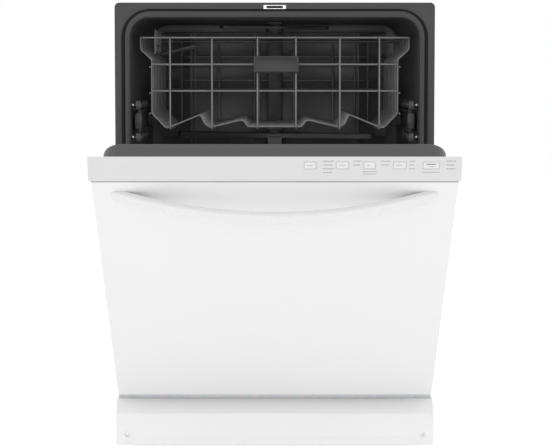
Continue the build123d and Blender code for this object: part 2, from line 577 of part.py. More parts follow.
lower = []
for k in range(LOW_RIBS):
    y = LOW_FRONT + k * (LOW_BACK - LOW_FRONT) / (LOW_RIBS - 1)
    lower.append(bent_wire([(-LOW_HALF, y, LOW_RIM - clear), (-LOW_HALF, y, LOW_FLOOR),
                            (LOW_HALF, y, LOW_FLOOR), (LOW_HALF, y, LOW_RIM - clear)], 24))
for k in range(-LOW_LEGS + 1, LOW_LEGS):
    x = k * 48.0
    low = LOW_FLOOR - 2 * WIRE_R - GAP
    front, back = LOW_FRONT - 2 * WIRE_R - GAP, LOW_BACK + 2 * WIRE_R + GAP
    lower.append(bent_wire([(x, front, LOW_RIM), (x, front, low), (x, back, low), (x, back, LOW_RIM)], 20))
for y in (LOW_FRONT, LOW_BACK):
    lower.append(rod((-LOW_HALF - 3, y, LOW_RIM), (LOW_HALF + 3, y, LOW_RIM)))
    lower.append(rod((clear - LOW_HALF, y, 320), (LOW_HALF - clear, y, 320)))
for side in (-1, 1):
    lower.append(rod((side * LOW_HALF, LOW_FRONT + clear, LOW_RIM),
                     (side * LOW_HALF, LOW_BACK - clear, LOW_RIM)))
    outer = side * (LOW_HALF + 2 * WIRE_R + GAP)
    lower.append(rod((outer, LOW_FRONT, 320), (outer, LOW_BACK, 320)))
TINE_X, TINE_HEIGHT = (-144.0, -48.0, 48.0), 92.0
for x in TINE_X:
    for k in range(2, LOW_RIBS):
        y = LOW_FRONT + (k - 0.5) * (LOW_BACK - LOW_FRONT) / (LOW_RIBS - 1)
        foot = LOW_FLOOR - WIRE_R
        lower.append(rod((x, y, foot), (x, y + 12, foot + TINE_HEIGHT), 1.7))


def axle(side, y):
    """A moulded wheel carrier that clips under the rack's side and ends in the wheel's axle."""
    a, b = sorted((side * (WHEEL_X[1] + 1), side * (WHEEL_X[1] + 8)))
    with BuildPart() as piece:
        block((a, y - 14, WHEEL_Z - 8), (b, y + 14, LOW_FLOOR - 3 * WIRE_R - 1))
        disc((side * (WHEEL_X[1] + 1), y, WHEEL_Z), (-side, 0, 0), 4.0, WHEEL_X[1] - WHEEL_X[0] + 2)
        disc((side * (WHEEL_X[0] - 0.4), y, WHEEL_Z), (-side, 0, 0), 6.0, 1.6)
    return piece.part


group(lower + [axle(s, y) for s in (-1, 1) for y in WHEEL_Y], "lower_rack")
for y, place in zip(WHEEL_Y, ("front", "rear")):
    group([roller(s, y, WHEEL_Z, WHEEL_X, WHEEL_R, 4.08) for s in (-1, 1)],
          f"lower_rack_{place}_wheels")

CRATE_X, CRATE_Y, CRATE_Z = (74.0, 196.0), (FACE_Y + 66.0, FACE_Y + 416.0), (LOW_FLOOR + 2.5, 372.0)
with BuildPart() as silverware_basket:
    block((CRATE_X[0], CRATE_Y[0], CRATE_Z[0]), (CRATE_X[1], CRATE_Y[1], CRATE_Z[1]))
    fillet(silverware_basket.edges().filter_by(Axis.Z), 8)
    cells, wall = 4, 2.5
    pitch = (CRATE_Y[1] - CRATE_Y[0] - wall) / cells
    middle = (CRATE_X[0] + CRATE_X[1]) / 2
    for k in range(cells):
        y = CRATE_Y[0] + wall + k * pitch
        block((CRATE_X[0] + wall, y, CRATE_Z[0] + wall),
              (middle - wall / 2, y + pitch - wall, CRATE_Z[1] + 1), Mode.SUBTRACT)
        block((middle + wall / 2, y, CRATE_Z[0] + wall),
              (CRATE_X[1] - wall, y + pitch - wall, CRATE_Z[1] + 1), Mode.SUBTRACT)
    # carrying handle over the middle
    block((middle - 3, CRATE_Y[0] + 120, CRATE_Z[1] - 1), (middle + 3, CRATE_Y[0] + 132, 410))
    block((middle - 3, CRATE_Y[1] - 132, CRATE_Z[1] - 1), (middle + 3, CRATE_Y[1] - 120, 410))
    block((middle - 6, CRATE_Y[0] + 120, 402), (middle + 6, CRATE_Y[1] - 120, 412))
save(silverware_basket.part, "silverware_basket")

# ---- feet and springs ------------------------------------------------------------------------------
for x, side in ((-FOOT_X, "left"), (FOOT_X, "right")):
    for y, place in zip(FOOT_Y, ("front", "rear")):
        with BuildPart() as foot:
            disc((x, y, 0), (0, 0, 1), 16, 6)
            with BuildSketch(Plane(origin=(x, y, 6))):
                RegularPolygon(9, 6)
            extrude(amount=7)
            disc((x, y, 13), (0, 0, 1), FOOT_STEM_R, 60)
        save(foot.part, f"leveling_foot_{place}_{side}")

for side, name in ((-1, "left"), (1, "right")):
    start = Vector(side * SPRING_X, *SPRING_ANCHOR)
    run = Vector(side * SPRING_X, *SPRING_TAIL) - start
    with BuildPart() as door_spring:
        disc(tuple(start + run.normalized() * 4), tuple(run), SPRING_R, run.length - 8)
    save(door_spring.part, f"door_spring_{name}")

# ---- door ------------------------------------------------------------------------------------------
HANDLE_H, HANDLE_REACH, HANDLE_HALF = 590.0, 52.0, 267.0
HANDLE_TALL, HANDLE_THICK = 36.0, 10.0
with BuildPart(DOOR) as door_outer_panel:
    block((-DOOR_HALF, DOOR_LOW, 42), (DOOR_HALF, DOOR_HIGH, DOOR_FRONT))
    block((SHEET - DOOR_HALF, DOOR_LOW + SHEET, 41), (DOOR_HALF - SHEET, DOOR_HIGH - SHEET,
                                                     DOOR_FRONT - SHEET), Mode.SUBTRACT)
    for x in (-254, 254):
        with Locations((x, HANDLE_H, DOOR_FRONT)):
            Cylinder(3.2, 10, mode=Mode.SUBTRACT)
save(door_outer_panel.part, "door_outer_panel")

DISPENSER_X, DISPENSER_H = 0.0, 330.0
LINER_WALL = 2.0


def liner_body(plane, grow, low, high, depth, half):
    """A solid with rounded corners between two heights, from a plane outward by depth."""
    with BuildSketch(plane) as tray:
        with Locations((0, (low + high) / 2)):
            RectangleRounded(2 * (half + grow), high - low + 2 * grow, LINER_R + grow)
    return extrude(tray.sketch, amount=depth, mode=Mode.PRIVATE)


with BuildPart() as door_liner:
    add(liner_body(DOOR.offset(LINER_BACK), 0, 24, LINER_TOP, 27, LINER_HALF))
    add(liner_body(DOOR.offset(PAN_BACK), 0, PAN_LOW + 2, PAN_HIGH, 24, PAN_HALF))
    with BuildSketch(DOOR.offset(30)):
        with Locations((0, -7)):
            Rectangle(510, 62)
    extrude(amount=10)
    add(liner_body(DOOR.offset(LINER_BACK + LINER_WALL), -LINER_WALL, 24, LINER_TOP, 30, LINER_HALF),
        mode=Mode.SUBTRACT)
    add(liner_body(DOOR.offset(PAN_BACK + LINER_WALL), -LINER_WALL, PAN_LOW + 2, PAN_HIGH, 30,
                   PAN_HALF), mode=Mode.SUBTRACT)
    with BuildSketch(DOOR.offset(32)):
        with Locations((0, -5)):
            Rectangle(506, 62)
    extrude(amount=12, mode=Mode.SUBTRACT)
    # openings for the dispenser and the latch
    with BuildSketch(DOOR.offset(PAN_BACK - 1)):
        with Locations((DISPENSER_X, DISPENSER_H)):
            Rectangle(171, 111)
        with Locations((0, 657)):
            Rectangle(31, 7)
    extrude(amount=26, mode=Mode.SUBTRACT)
save(door_liner.part, "door_liner")

# the console: a hollow wedge whose sloping face carries the keys
KEY_V, KEY_H, KEY_FIT, KEY_DEPTH = 4.8, 14.0, 0.25, 4.0
KEYS = {"cycles_button": (47, 68), "temp_button": (99, 121), "dry_button": (144, 164),
        "delay_button": (192, 214), "start_button": (240, 268)}
LAMP_COLUMNS = ((79, 4), (128, 2), (173, 2), (219, 3), (279, 3))
LAMP_TOP_V, LAMP_PITCH, LAMP_R = 12.2, 6.7, 0.9
LAMPS = [(x, LAMP_TOP_V - LAMP_PITCH * k) for x, n in LAMP_COLUMNS for k in range(n)]


def wedge_profile(inset):
    """The console's cross-section as (height, outward) corners, shrunk by inset."""
    front, tip = FASCIA_LOW[1], FASCIA_HIGH[0] - 0.2
    return [(CONSOLE_LOW + inset, CONSOLE_BACK), (CONSOLE_LOW + inset, front - inset),
            (FASCIA_LOW[0] + inset * 0.35, front - inset), (tip - inset * 1.22, CONSOLE_BACK)]


with BuildPart() as door_console:
    for inset, mode in ((0, Mode.ADD), (CONSOLE_WALL, Mode.SUBTRACT)):
        half = CONSOLE_HALF - inset
        side_plane = Plane(DOOR.location * Location((-half, 0, 0), (90, 90, 0)))
        with BuildSketch(side_plane):
            with BuildLine():
                Polyline(*wedge_profile(inset), close=True)
            make_face()
        extrude(amount=2 * half, mode=mode)
    with BuildSketch(FASCIA.offset(-9)):
        for x0, x1 in KEYS.values():
            with Locations(((x0 + x1) / 2, KEY_V)):
                RectangleRounded(x1 - x0, KEY_H, 2)
        with Locations(LAMPS):
            Circle(LAMP_R)
    extrude(amount=12, mode=Mode.SUBTRACT)
save(door_console.part, "door_console")

for name, (x0, x1) in KEYS.items():
    with BuildPart() as key:
        with BuildSketch(FASCIA.offset(-KEY_DEPTH)):
            with Locations(((x0 + x1) / 2, KEY_V)):
                RectangleRounded(x1 - x0 - 2 * KEY_FIT, KEY_H - 2 * KEY_FIT, 1.8)
        extrude(amount=KEY_DEPTH + 0.3)
        fillet(key.faces().sort_by(Axis(FASCIA.origin, FASCIA.z_dir))[-1].edges(), 0.4)
    save(key.part, name)

with BuildPart() as indicator_lights:
    with BuildSketch(FASCIA.offset(-3.5)):
        with Locations(LAMPS):
            Circle(LAMP_R - 0.08)
    extrude(amount=3.6)
save(indicator_lights.part, "indicator_lights")

with BuildPart() as control_board:
    with BuildSketch(FASCIA.offset(-8.4)):
        with Locations((165, -8)):
            Rectangle(255, 14)
    extrude(amount=1.6)
save(control_board.part, "control_board")

with BuildPart() as door_handle:
    bow_plane = Plane(DOOR.location * Location((0, HANDLE_H - HANDLE_TALL / 2, 0), (-90, 0, 0)))
    with BuildSketch(bow_plane):
        with BuildLine():
            ThreePointArc((-HANDLE_HALF, -DOOR_FRONT - 0.1), (0, -DOOR_FRONT - HANDLE_REACH),
                          (HANDLE_HALF, -DOOR_FRONT - 0.1))
            Line((HANDLE_HALF, -DOOR_FRONT - 0.1), (HANDLE_HALF - 29, -DOOR_FRONT - 0.1))
            ThreePointArc((HANDLE_HALF - 29, -DOOR_FRONT - 0.1),
                          (0, -DOOR_FRONT - HANDLE_REACH + HANDLE_THICK),
                          (29 - HANDLE_HALF, -DOOR_FRONT - 0.1))
            Line((29 - HANDLE_HALF, -DOOR_FRONT - 0.1), (-HANDLE_HALF, -DOOR_FRONT - 0.1))
        make_face()
    extrude(amount=HANDLE_TALL)
    for x in (-254, 254):
        with BuildSketch(DOOR.offset(48)):
            with Locations((x, HANDLE_H)):
                Circle(3.0)
        extrude(amount=13)
save(door_handle.part, "door_handle")


def hinge_arm(side):
    """The moving half of a hinge: eye on the pin, tail for the spring, strap into the door."""
    plate = Plane(DOOR.location * Location((side * 285.5, 0, 0), (90, 90, 0)))
    tail_y, tail_z = SPRING_TAIL[0] - PIVOT_Y, SPRING_TAIL[1] - PIVOT_Z
    tail = (tail_z * cos(tilt) - tail_y * sin(tilt), -tail_y * cos(tilt) - tail_z * sin(tilt))
    with BuildPart() as piece:
        with BuildSketch(plate):
            Circle(11)
            with BuildLine():
                Polyline((8, -7), (60, 21), (170, 21), (170, 40), (50, 40), (-6, 9), close=True)
            make_face()
            with BuildLine():
                Polyline((-8, 6), (tail[0] - 5, tail[1] + 4), (tail[0] + 4, tail[1] - 5), (6, -8),
                         close=True)
            make_face()
            with Locations(tail):
                Circle(6)
            Circle(4.08, mode=Mode.SUBTRACT)
        extrude(amount=1.5, both=True)
        disc((side * 287, *SPRING_TAIL), (side, 0, 0), 2.5, 11)
    return piece.part


group([hinge_arm(-1), hinge_arm(1)], "hinge_arms")

with BuildPart(DOOR) as latch_hook:
    block((-11, 656.5, 9), (11, 659.5, 34))
    block((-11, 656.5, 9), (11, 668, 12))
    block((-11, 665.2, -8), (11, 668, 12))
    block((-11, 665.2, -8), (11, 670.0, -5.5))
save(latch_hook.part, "latch_hook")

with BuildPart(DOOR) as dispenser_housing:
    block((-95, DISPENSER_H - 65, -11), (95, DISPENSER_H + 65, PAN_BACK - 0.05))
    block((-85, DISPENSER_H - 55, -11), (85, DISPENSER_H + 55, 26))
    block((-78, DISPENSER_H - 44, -12), (-4, DISPENSER_H + 44, 17), Mode.SUBTRACT)
    with Locations((45, DISPENSER_H, -5)):
        Cylinder(20.3, 14, mode=Mode.SUBTRACT)
save(dispenser_housing.part, "dispenser_housing")

with BuildPart(DOOR) as dispenser_lid:
    block((-83, DISPENSER_H - 50, -14.5), (1, DISPENSER_H + 50, -11.2))
    block((-83, DISPENSER_H - 50, -16.5), (1, DISPENSER_H - 45, -14.5))
    upright = dispenser_lid.edges().filter_by(Axis(DOOR.origin, DOOR.z_dir))
    fillet(upright.group_by(SortBy.LENGTH)[-1], 1.4)
save(dispenser_lid.part, "dispenser_lid")

with BuildPart(DOOR) as rinse_aid_cap:
    with Locations((45, DISPENSER_H, -8)):
        Cylinder(20, 9)
    block((28, DISPENSER_H - 3, -17), (62, DISPENSER_H + 3, -12))
save(rinse_aid_cap.part, "rinse_aid_cap")
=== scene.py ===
"""Looks of a built-in dishwasher with its door part open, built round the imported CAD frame.

Lengths are in millimetres in the row frame (+Z up, +Y to the back) and are scaled to metres when
a piece is made. On the door they are (x, h, w): across, up the door and out from its pivot plane.
"""

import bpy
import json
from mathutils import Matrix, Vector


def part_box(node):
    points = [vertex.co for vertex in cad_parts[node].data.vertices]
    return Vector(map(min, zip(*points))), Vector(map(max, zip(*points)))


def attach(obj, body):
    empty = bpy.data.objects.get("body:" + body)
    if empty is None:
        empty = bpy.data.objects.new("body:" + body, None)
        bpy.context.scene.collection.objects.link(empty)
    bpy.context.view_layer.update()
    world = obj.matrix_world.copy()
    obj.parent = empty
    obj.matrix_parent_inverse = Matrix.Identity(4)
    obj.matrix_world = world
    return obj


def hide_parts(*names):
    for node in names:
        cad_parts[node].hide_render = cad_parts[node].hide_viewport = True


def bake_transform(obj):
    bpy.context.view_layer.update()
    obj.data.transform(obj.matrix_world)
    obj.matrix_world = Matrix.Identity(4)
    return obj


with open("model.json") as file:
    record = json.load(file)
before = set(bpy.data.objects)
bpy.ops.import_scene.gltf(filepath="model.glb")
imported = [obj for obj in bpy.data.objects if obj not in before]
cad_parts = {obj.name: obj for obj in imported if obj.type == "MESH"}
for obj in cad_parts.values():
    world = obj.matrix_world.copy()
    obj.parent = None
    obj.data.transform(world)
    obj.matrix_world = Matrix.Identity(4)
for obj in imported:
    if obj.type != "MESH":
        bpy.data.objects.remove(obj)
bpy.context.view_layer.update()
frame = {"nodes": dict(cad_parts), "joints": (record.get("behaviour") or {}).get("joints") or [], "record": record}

import json
from math import atan2, cos, pi, radians, sin, sqrt, tan

import bmesh
import bpy
from mathutils import Vector, noise

MM = 0.001
RECORD = frame["record"]
BODY_OF = {node: body for body, nodes in RECORD["behaviour"]["bodies"].items() for node in nodes}
SLOT_OF = {part["node"]: part["material_slot"] for part in RECORD["subparts"]}
JOINT = {joint["name"]: joint for joint in frame["joints"]}


def box_mm(node):
    """The lowest and highest corners of a CAD node, in millimetres."""
    low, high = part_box(node)
    return low / MM, high / MM


# ---- the door's own coordinates -----------------------------------------------------------------
PIVOT = Vector(JOINT["door_hinge"]["pos_m"]) / MM
OPEN_ANGLE = radians(-JOINT["door_hinge"]["range_deg"][0])
UP_DOOR = Vector((0, -sin(OPEN_ANGLE), cos(OPEN_ANGLE)))
OUT_DOOR = Vector((0, -cos(OPEN_ANGLE), -sin(OPEN_ANGLE)))
FASCIA_LOW, FASCIA_HIGH = (639.0, 62.0), (677.7, 40.0)
FASCIA_RUN = Vector((FASCIA_HIGH[0] - FASCIA_LOW[0], FASCIA_HIGH[1] - FASCIA_LOW[1])).normalized()


def on_door(p):
    """(x, h, w) on the door to the row frame."""
    return PIVOT + Vector((p[0], 0, 0)) + UP_DOOR * p[1] + OUT_DOOR * p[2]


def on_fascia(p):
    """(x, v, n) on the console's slope, v up it and n out of it, to the row frame."""
    mid = ((FASCIA_LOW[0] + FASCIA_HIGH[0]) / 2, (FASCIA_LOW[1] + FASCIA_HIGH[1]) / 2)
    h = mid[0] + FASCIA_RUN.x * p[1] - FASCIA_RUN.y * p[2]
    w = mid[1] + FASCIA_RUN.y * p[1] + FASCIA_RUN.x * p[2]
    return on_door((p[0], h, w))


def as_is(p):
    return Vector(p)


# ---- materials ----------------------------------------------------------------------------------
def material(name, colour, rough, metal=0.0, grain=(900.0, 0.05), blotch=0.06, coat=0.0, kind="fine",
             sheen=0.0):
    """A procedural finish: tone that drifts, roughness that varies, and a grain in relief."""
    mat = bpy.data.materials.new(name)
    mat.use_nodes = True
    nodes, links = mat.node_tree.nodes, mat.node_tree.links
    shader = nodes["Principled BSDF"]
    shader.inputs["Metallic"].default_value = metal
    shader.inputs["Coat Weight"].default_value = coat
    shader.inputs["Coat Roughness"].default_value = 0.12
    shader.inputs["Sheen Weight"].default_value = sheen
    where = nodes.new("ShaderNodeTexCoord")
    drift = nodes.new("ShaderNodeTexNoise")
    drift.inputs["Scale"].default_value = 7.0
    drift.inputs["Detail"].default_value = 4.0
    links.new(where.outputs["Object"], drift.inputs["Vector"])
    tone = nodes.new("ShaderNodeMix")
    tone.data_type = "RGBA"
    dark = [c * (1 - blotch) for c in colour] + [1]
    light = [min(c * (1 + blotch), 1.0) for c in colour] + [1]
    tone.inputs["A"].default_value, tone.inputs["B"].default_value = dark, light
    links.new(drift.outputs["Fac"], tone.inputs["Factor"])
    fine = {"fine": "ShaderNodeTexNoise", "spangle": "ShaderNodeTexVoronoi",
            "brushed": "ShaderNodeTexNoise", "felt": "ShaderNodeTexNoise"}[kind]
    relief = nodes.new(fine)
    relief.inputs["Scale"].default_value = grain[0]
    source = where.outputs["Object"]
    if kind == "brushed":
        stretch = nodes.new("ShaderNodeMapping")
        stretch.inputs["Scale"].default_value = (0.03, 1.0, 1.0)
        links.new(source, stretch.inputs["Vector"])
        source = stretch.outputs["Vector"]
    links.new(source, relief.inputs["Vector"])
    height = relief.outputs["Distance" if kind == "spangle" else "Fac"]
    if kind == "spangle":
        shade = nodes.new("ShaderNodeMix")
        shade.data_type = "RGBA"
        shade.blend_type = "MULTIPLY"
        shade.inputs["Factor"].default_value = 0.16
        links.new(tone.outputs["Result"], shade.inputs["A"])
        links.new(relief.outputs["Color"], shade.inputs["B"])
        links.new(shade.outputs["Result"], shader.inputs["Base Color"])
    else:
        links.new(tone.outputs["Result"], shader.inputs["Base Color"])
    bump = nodes.new("ShaderNodeBump")
    bump.inputs["Strength"].default_value = grain[1]
    bump.inputs["Distance"].default_value = 0.0006 if kind == "felt" else 0.0002
    links.new(height, bump.inputs["Height"])
    links.new(bump.outputs["Normal"], shader.inputs["Normal"])
    vary = nodes.new("ShaderNodeMapRange")
    vary.inputs["To Min"].default_value = max(rough - 0.06, 0.02)
    vary.inputs["To Max"].default_value = min(rough + 0.06, 1.0)
    links.new(drift.outputs["Fac"], vary.inputs["Value"])
    links.new(vary.outputs["Result"], shader.inputs["Roughness"])
    return mat


FINISH = {}


def finish(name, *look, **more):
    """The finish of one material slot."""
    FINISH[name] = material(name, *look, **more)


finish("tub_plastic", (0.041, 0.041, 0.042), 0.42, grain=(1400, 0.10), blotch=0.12)
finish("gasket_rubber", (0.012, 0.012, 0.012), 0.62, grain=(700, 0.15))
finish("sound_blanket", (0.045, 0.043, 0.040), 0.95, grain=(420, 0.9), blotch=0.35, kind="felt",
        sheen=0.3)
finish("galvanised_steel", (0.50, 0.51, 0.52), 0.36, 0.9, (130, 0.06), 0.05, kind="spangle")
finish("bright_steel", (0.72, 0.72, 0.73), 0.22, 1.0, (900, 0.05), kind="brushed")
finish("toe_panel_enamel", (0.80, 0.80, 0.802), 0.40, grain=(520, 0.05), blotch=0.012, coat=0.15)
finish("valve_plastic", (0.62, 0.61, 0.56), 0.45, grain=(800, 0.08))
finish("sump_plastic", (0.020, 0.020, 0.022), 0.48, grain=(800, 0.12))
finish("motor_enamel", (0.018, 0.018, 0.020), 0.40, 0.2, (500, 0.12))
finish("heater_steel", (0.22, 0.20, 0.18), 0.45, 0.9, (900, 0.12), 0.25, kind="brushed")
finish("screen_steel", (0.36, 0.36, 0.37), 0.38, 0.95, (900, 0.08), kind="brushed")
finish("spray_plastic", (0.045, 0.045, 0.048), 0.45, grain=(900, 0.10))
finish("spring_steel", (0.20, 0.20, 0.205), 0.35, 0.95, (700, 0.10))
finish("door_enamel", (0.755, 0.755, 0.758), 0.34, grain=(420, 0.035), blotch=0.008, coat=0.12)
finish("liner_plastic", (0.066, 0.066, 0.068), 0.42, grain=(1300, 0.10), blotch=0.06)
finish("console_plastic", (0.645, 0.635, 0.64), 0.40, grain=(1100, 0.05), blotch=0.012)
finish("lamp_lens", (0.34, 0.37, 0.39), 0.18, grain=(900, 0.04), coat=0.3)
finish("board_laminate", (0.01, 0.09, 0.04), 0.35, grain=(300, 0.2))
finish("handle_plastic", (0.71, 0.707, 0.705), 0.26, grain=(900, 0.03), blotch=0.01, coat=0.35)
finish("dispenser_plastic", (0.085, 0.085, 0.09), 0.42, grain=(1200, 0.10))
finish("cap_plastic", (0.045, 0.048, 0.055), 0.32, grain=(900, 0.06))
finish("rail_plastic", (0.050, 0.050, 0.052), 0.40, grain=(900, 0.08))
finish("rack_coating", (0.20, 0.20, 0.20), 0.32, grain=(700, 0.08), blotch=0.10, coat=0.5)
finish("badge_plastic", (0.040, 0.040, 0.042), 0.42, grain=(1500, 0.12))
finish("basket_plastic", (0.11, 0.11, 0.115), 0.45, grain=(900, 0.10))
finish("wheel_plastic", (0.095, 0.095, 0.097), 0.38, grain=(900, 0.06))
finish("key_plastic", (0.70, 0.695, 0.697), 0.36, grain=(1100, 0.04), blotch=0.01)
finish("zinc_steel", (0.48, 0.48, 0.45), 0.34, 0.9, (600, 0.10), kind="brushed")
rubber = FINISH["gasket_rubber"].node_tree.nodes["Principled BSDF"]
rubber.inputs["Specular IOR Level"].default_value = 0.12
PRINT_GREY = material("print_grey", (0.30, 0.30, 0.31), 0.55, grain=(1500, 0.05))
# grey for a painted shadow line under the console
SEAM_PAINTED_SHADOW = material("seam_painted_shadow", (0.40, 0.40, 0.405), 0.6, grain=(900, 0.06))
# the tub's inner faces take a lighter copy of the tub plastic: painted light to lift the shaded inside
TUB_INSIDE_PAINTED_FILL = material("tub_inside_painted_fill", (0.072, 0.072, 0.075), 0.34, grain=(1400, 0.06), blotch=0.2)
# near-black for holes and recesses drawn as flat marks: painted shade
HOLE_SHADE_BLACK = material("painted_hole_shade", (0.006, 0.006, 0.006), 0.8, grain=(600, 0.1))


# ---- mesh building ------------------------------------------------------------------------------
def rounded(points, radii, steps=6):
    """A route with each inner corner eased over by a short curve."""
    points = [Vector(p) for p in points]
    if not isinstance(radii, (list, tuple)):
        radii = [radii] * (len(points) - 2)
    route = [points[0]]
    for before, at, after, radius in zip(points, points[1:], points[2:], radii):
        a, b = (before - at), (after - at)
        half_turn = (pi - a.angle(b)) / 2
        back = min(radius * tan(half_turn), a.length * 0.49, b.length * 0.49)
        start, end = at + a.normalized() * back, at + b.normalized() * back
        for k in range(steps + 1):
            t = k / steps
            route.append(start * (1 - t) ** 2 + at * 2 * t * (1 - t) + end * t * t)
    route.append(points[-1])
    return route


def rounded_rect(half_x, low, high, radius, steps=8):
    """The outline of a rounded rectangle about x = 0, anticlockwise, as 2-D points."""
    outline = []
    corners = ((half_x, low, -90), (half_x, high, 0), (-half_x, high, 90), (-half_x, low, 180))
    for x, y, start in corners:
        cx = x - radius if x > 0 else x + radius
        cy = y + radius if y == low else y - radius
        for k in range(steps + 1):
            turn = radians(start + 90 * k / steps)
            outline.append((cx + radius * cos(turn), cy + radius * sin(turn)))
    return outline


class Shape:
    """Mesh pieces gathered in millimetres, each face with a material number."""

    def __init__(self, place=as_is):
        self.place, self.verts, self.faces, self.mats = place, [], [], []

    def add(self, verts, faces, mat=0):
        first = len(self.verts)
        self.verts += [self.place(v) for v in verts]
        self.faces += [[first + i for i in face] for face in faces]
        self.mats += [mat] * len(faces)

    def box(self, low, high, mat=0):
        x, y, z = zip(low, high)
        verts = [(x[i], y[j], z[k]) for k in (0, 1) for j in (0, 1) for i in (0, 1)]
        self.add(verts, [(0, 2, 3, 1), (4, 5, 7, 6), (0, 1, 5, 4), (2, 6, 7, 3), (0, 4, 6, 2),
                         (1, 3, 7, 5)], mat)

    def loops(self, loops, mat=0, cap_start=True, cap_end=True, closed=True):
        """Skin between successive outlines that have the same number of points."""
        count = len(loops[0])
        verts = [p for loop in loops for p in loop]
        last = count if closed else count - 1
        faces = []
        for row in range(len(loops) - 1):
            for k in range(last):
                a, b = row * count + k, row * count + (k + 1) % count
                faces.append((a, b, b + count, a + count))
        if cap_start:
            faces.append(tuple(reversed(range(count))))
        if cap_end:
            faces.append(tuple(range(len(verts) - count, len(verts))))
        self.add(verts, faces, mat)

    def tube(self, route, radius, mat=0, sides=10, domed=True):
        """A round wire along a route, its ends domed."""
        route = [Vector(p) for p in route]
        runs = [(b - a).normalized() for a, b in zip(route, route[1:])]
        along = [runs[0]] + [(a + b).normalized() for a, b in zip(runs, runs[1:])] + [runs[-1]]
        side = runs[0].orthogonal().normalized()
        rings = []
        for k, (p, d) in enumerate(zip(route, along)):
            side = (side - d * side.dot(d)).normalized()
            up = d.cross(side)
            sizes = ((0, 1.0),)
            if domed and k == 0:
                sizes = ((-0.8, 0.35), (-0.5, 0.8), (0, 1.0))
            if domed and k == len(route) - 1:
                sizes = ((0, 1.0), (0.5, 0.8), (0.8, 0.35))
            for out, size in sizes:
                ring = [p + d * out * radius * 0.6 + (side * cos(t) + up * sin(t)) * radius * size
                        for t in (2 * pi * n / sides for n in range(sides))]
                rings.append(ring)
        self.loops(rings, mat)

    def lathe(self, centre, axis, profile, mat=0, sides=32, hollow=False):
        """A turned piece: profile is (radius, distance along the axis) from start to end."""
        d = Vector(axis).normalized()
        side = d.orthogonal().normalized()
        up = d.cross(side)
        centre = Vector(centre)
        rings = [[centre + d * t + (side * cos(a) + up * sin(a)) * r
                  for a in (2 * pi * n / sides for n in range(sides))] for r, t in profile]
        if hollow:
            rings.append(rings[0])
        self.loops(rings, mat, not hollow, not hollow)

    def plate(self, outline, low, high, mat=0):
        """A flat plate: a 2-D outline in the first two coordinates, between two levels."""
        self.loops([[(x, y, low) for x, y in outline], [(x, y, high) for x, y in outline]], mat)

    def make(self, name, mats, body, nodes=(), bevel=0.0, segments=2, smooth=40):
        """Turn the gathered faces into an object that rides on a body."""
        mesh = bpy.data.meshes.new(name)
        mesh.from_pydata([v * MM for v in self.verts], [], self.faces)
        for mat in mats:
            mesh.materials.append(mat)
        mesh.polygons.foreach_set("material_index", self.mats)
        return dress(name, mesh, body, nodes, bevel, segments, smooth)


def dress(name, mesh, body, nodes, bevel, segments, smooth):
    """Clean a mesh, ease its sharp edges, link it and hang it on its body."""
    bm = bmesh.new()
    bm.from_mesh(mesh)
    bmesh.ops.remove_doubles(bm, verts=bm.verts, dist=2e-6)
    bmesh.ops.recalc_face_normals(bm, faces=bm.faces)
    if bevel:
        bmesh.ops.dissolve_limit(bm, angle_limit=radians(0.6), verts=bm.verts, edges=bm.edges,
                                 delimit={"MATERIAL"})
        sharp = [e for e in bm.edges if len(e.link_faces) == 2 and e.calc_face_angle(0) > radians(32)]
        bmesh.ops.bevel(bm, geom=sharp, offset=bevel * MM, segments=segments, profile=0.5,
                        affect="EDGES", clamp_overlap=True, loop_slide=True)
        bmesh.ops.triangulate(bm, faces=[f for f in bm.faces if len(f.verts) > 4])
    bm.to_mesh(mesh)
    bm.free()
    mesh.shade_smooth()
    mesh.set_sharp_from_angle(angle=radians(smooth))
    obj = bpy.data.objects.new(name, mesh)
    bpy.context.scene.collection.objects.link(obj)
    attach(obj, body)
    if nodes:
        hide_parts(*nodes)
    return obj


def refined(node, bevel=0.6, segments=2, mat=None):
    """A CAD node's own shape as a new piece, with its edges eased."""
    source = frame["nodes"][node].data
    mesh = bpy.data.meshes.new(node + "_skin")
    mesh.from_pydata([v.co.copy() for v in source.vertices], [], [p.vertices[:] for p in source.polygons])
    mesh.materials.append(mat or FINISH[SLOT_OF[node]])
    return dress(node + "_skin", mesh, BODY_OF[node], [node], bevel, segments, 40)


def with_holes(obj, cutters):
    """Cut holes in a piece with other meshes, which are then thrown away."""
    for cutter in cutters:
        cut = obj.modifiers.new("cut", "BOOLEAN")
        cut.operation, cut.solver, cut.object = "DIFFERENCE", "EXACT", cutter
        bpy.context.view_layer.update()
        deps = bpy.context.evaluated_depsgraph_get()
        mesh = bpy.data.meshes.new_from_object(obj.evaluated_get(deps))
        obj.modifiers.clear()
        obj.data = mesh
        bpy.data.objects.remove(cutter)
    obj.data.shade_smooth()
    obj.data.set_sharp_from_angle(angle=radians(40))


def loose(shape, name):
    """A cutter: a mesh object that rides on nothing and is removed once used."""
    mesh = bpy.data.meshes.new(name)
    mesh.from_pydata([v * MM for v in shape.verts], [], shape.faces)
    bm = bmesh.new()
    bm.from_mesh(mesh)
    bmesh.ops.recalc_face_normals(bm, faces=bm.faces)
    bm.to_mesh(mesh)
    bm.free()
    obj = bpy.data.objects.new(name, mesh)
    bpy.context.scene.collection.objects.link(obj)
    return obj


# ---- camera, light and floor --------------------------------------------------------------------
# name, place in metres, size in metres, watts
LAMPS = (("front", (-0.25, -3.4, 0.75), 1.0, 5), ("key", (-1.6, -2.6, 2.6), 1.6, 0.5),
         ("top", (0, -0.4, 3.2), 2.4, 0.3), ("back", (0, 3.0, 1.8), 2.0, 8))
EYE_PLACE, EYE_PITCH, LENS, SHIFT_X = (0, -3.620, 0.7096), 4.5, 123.5, 0.00226
FLOOR_HALF, FLOOR_GLOW = 9.0, 0.53


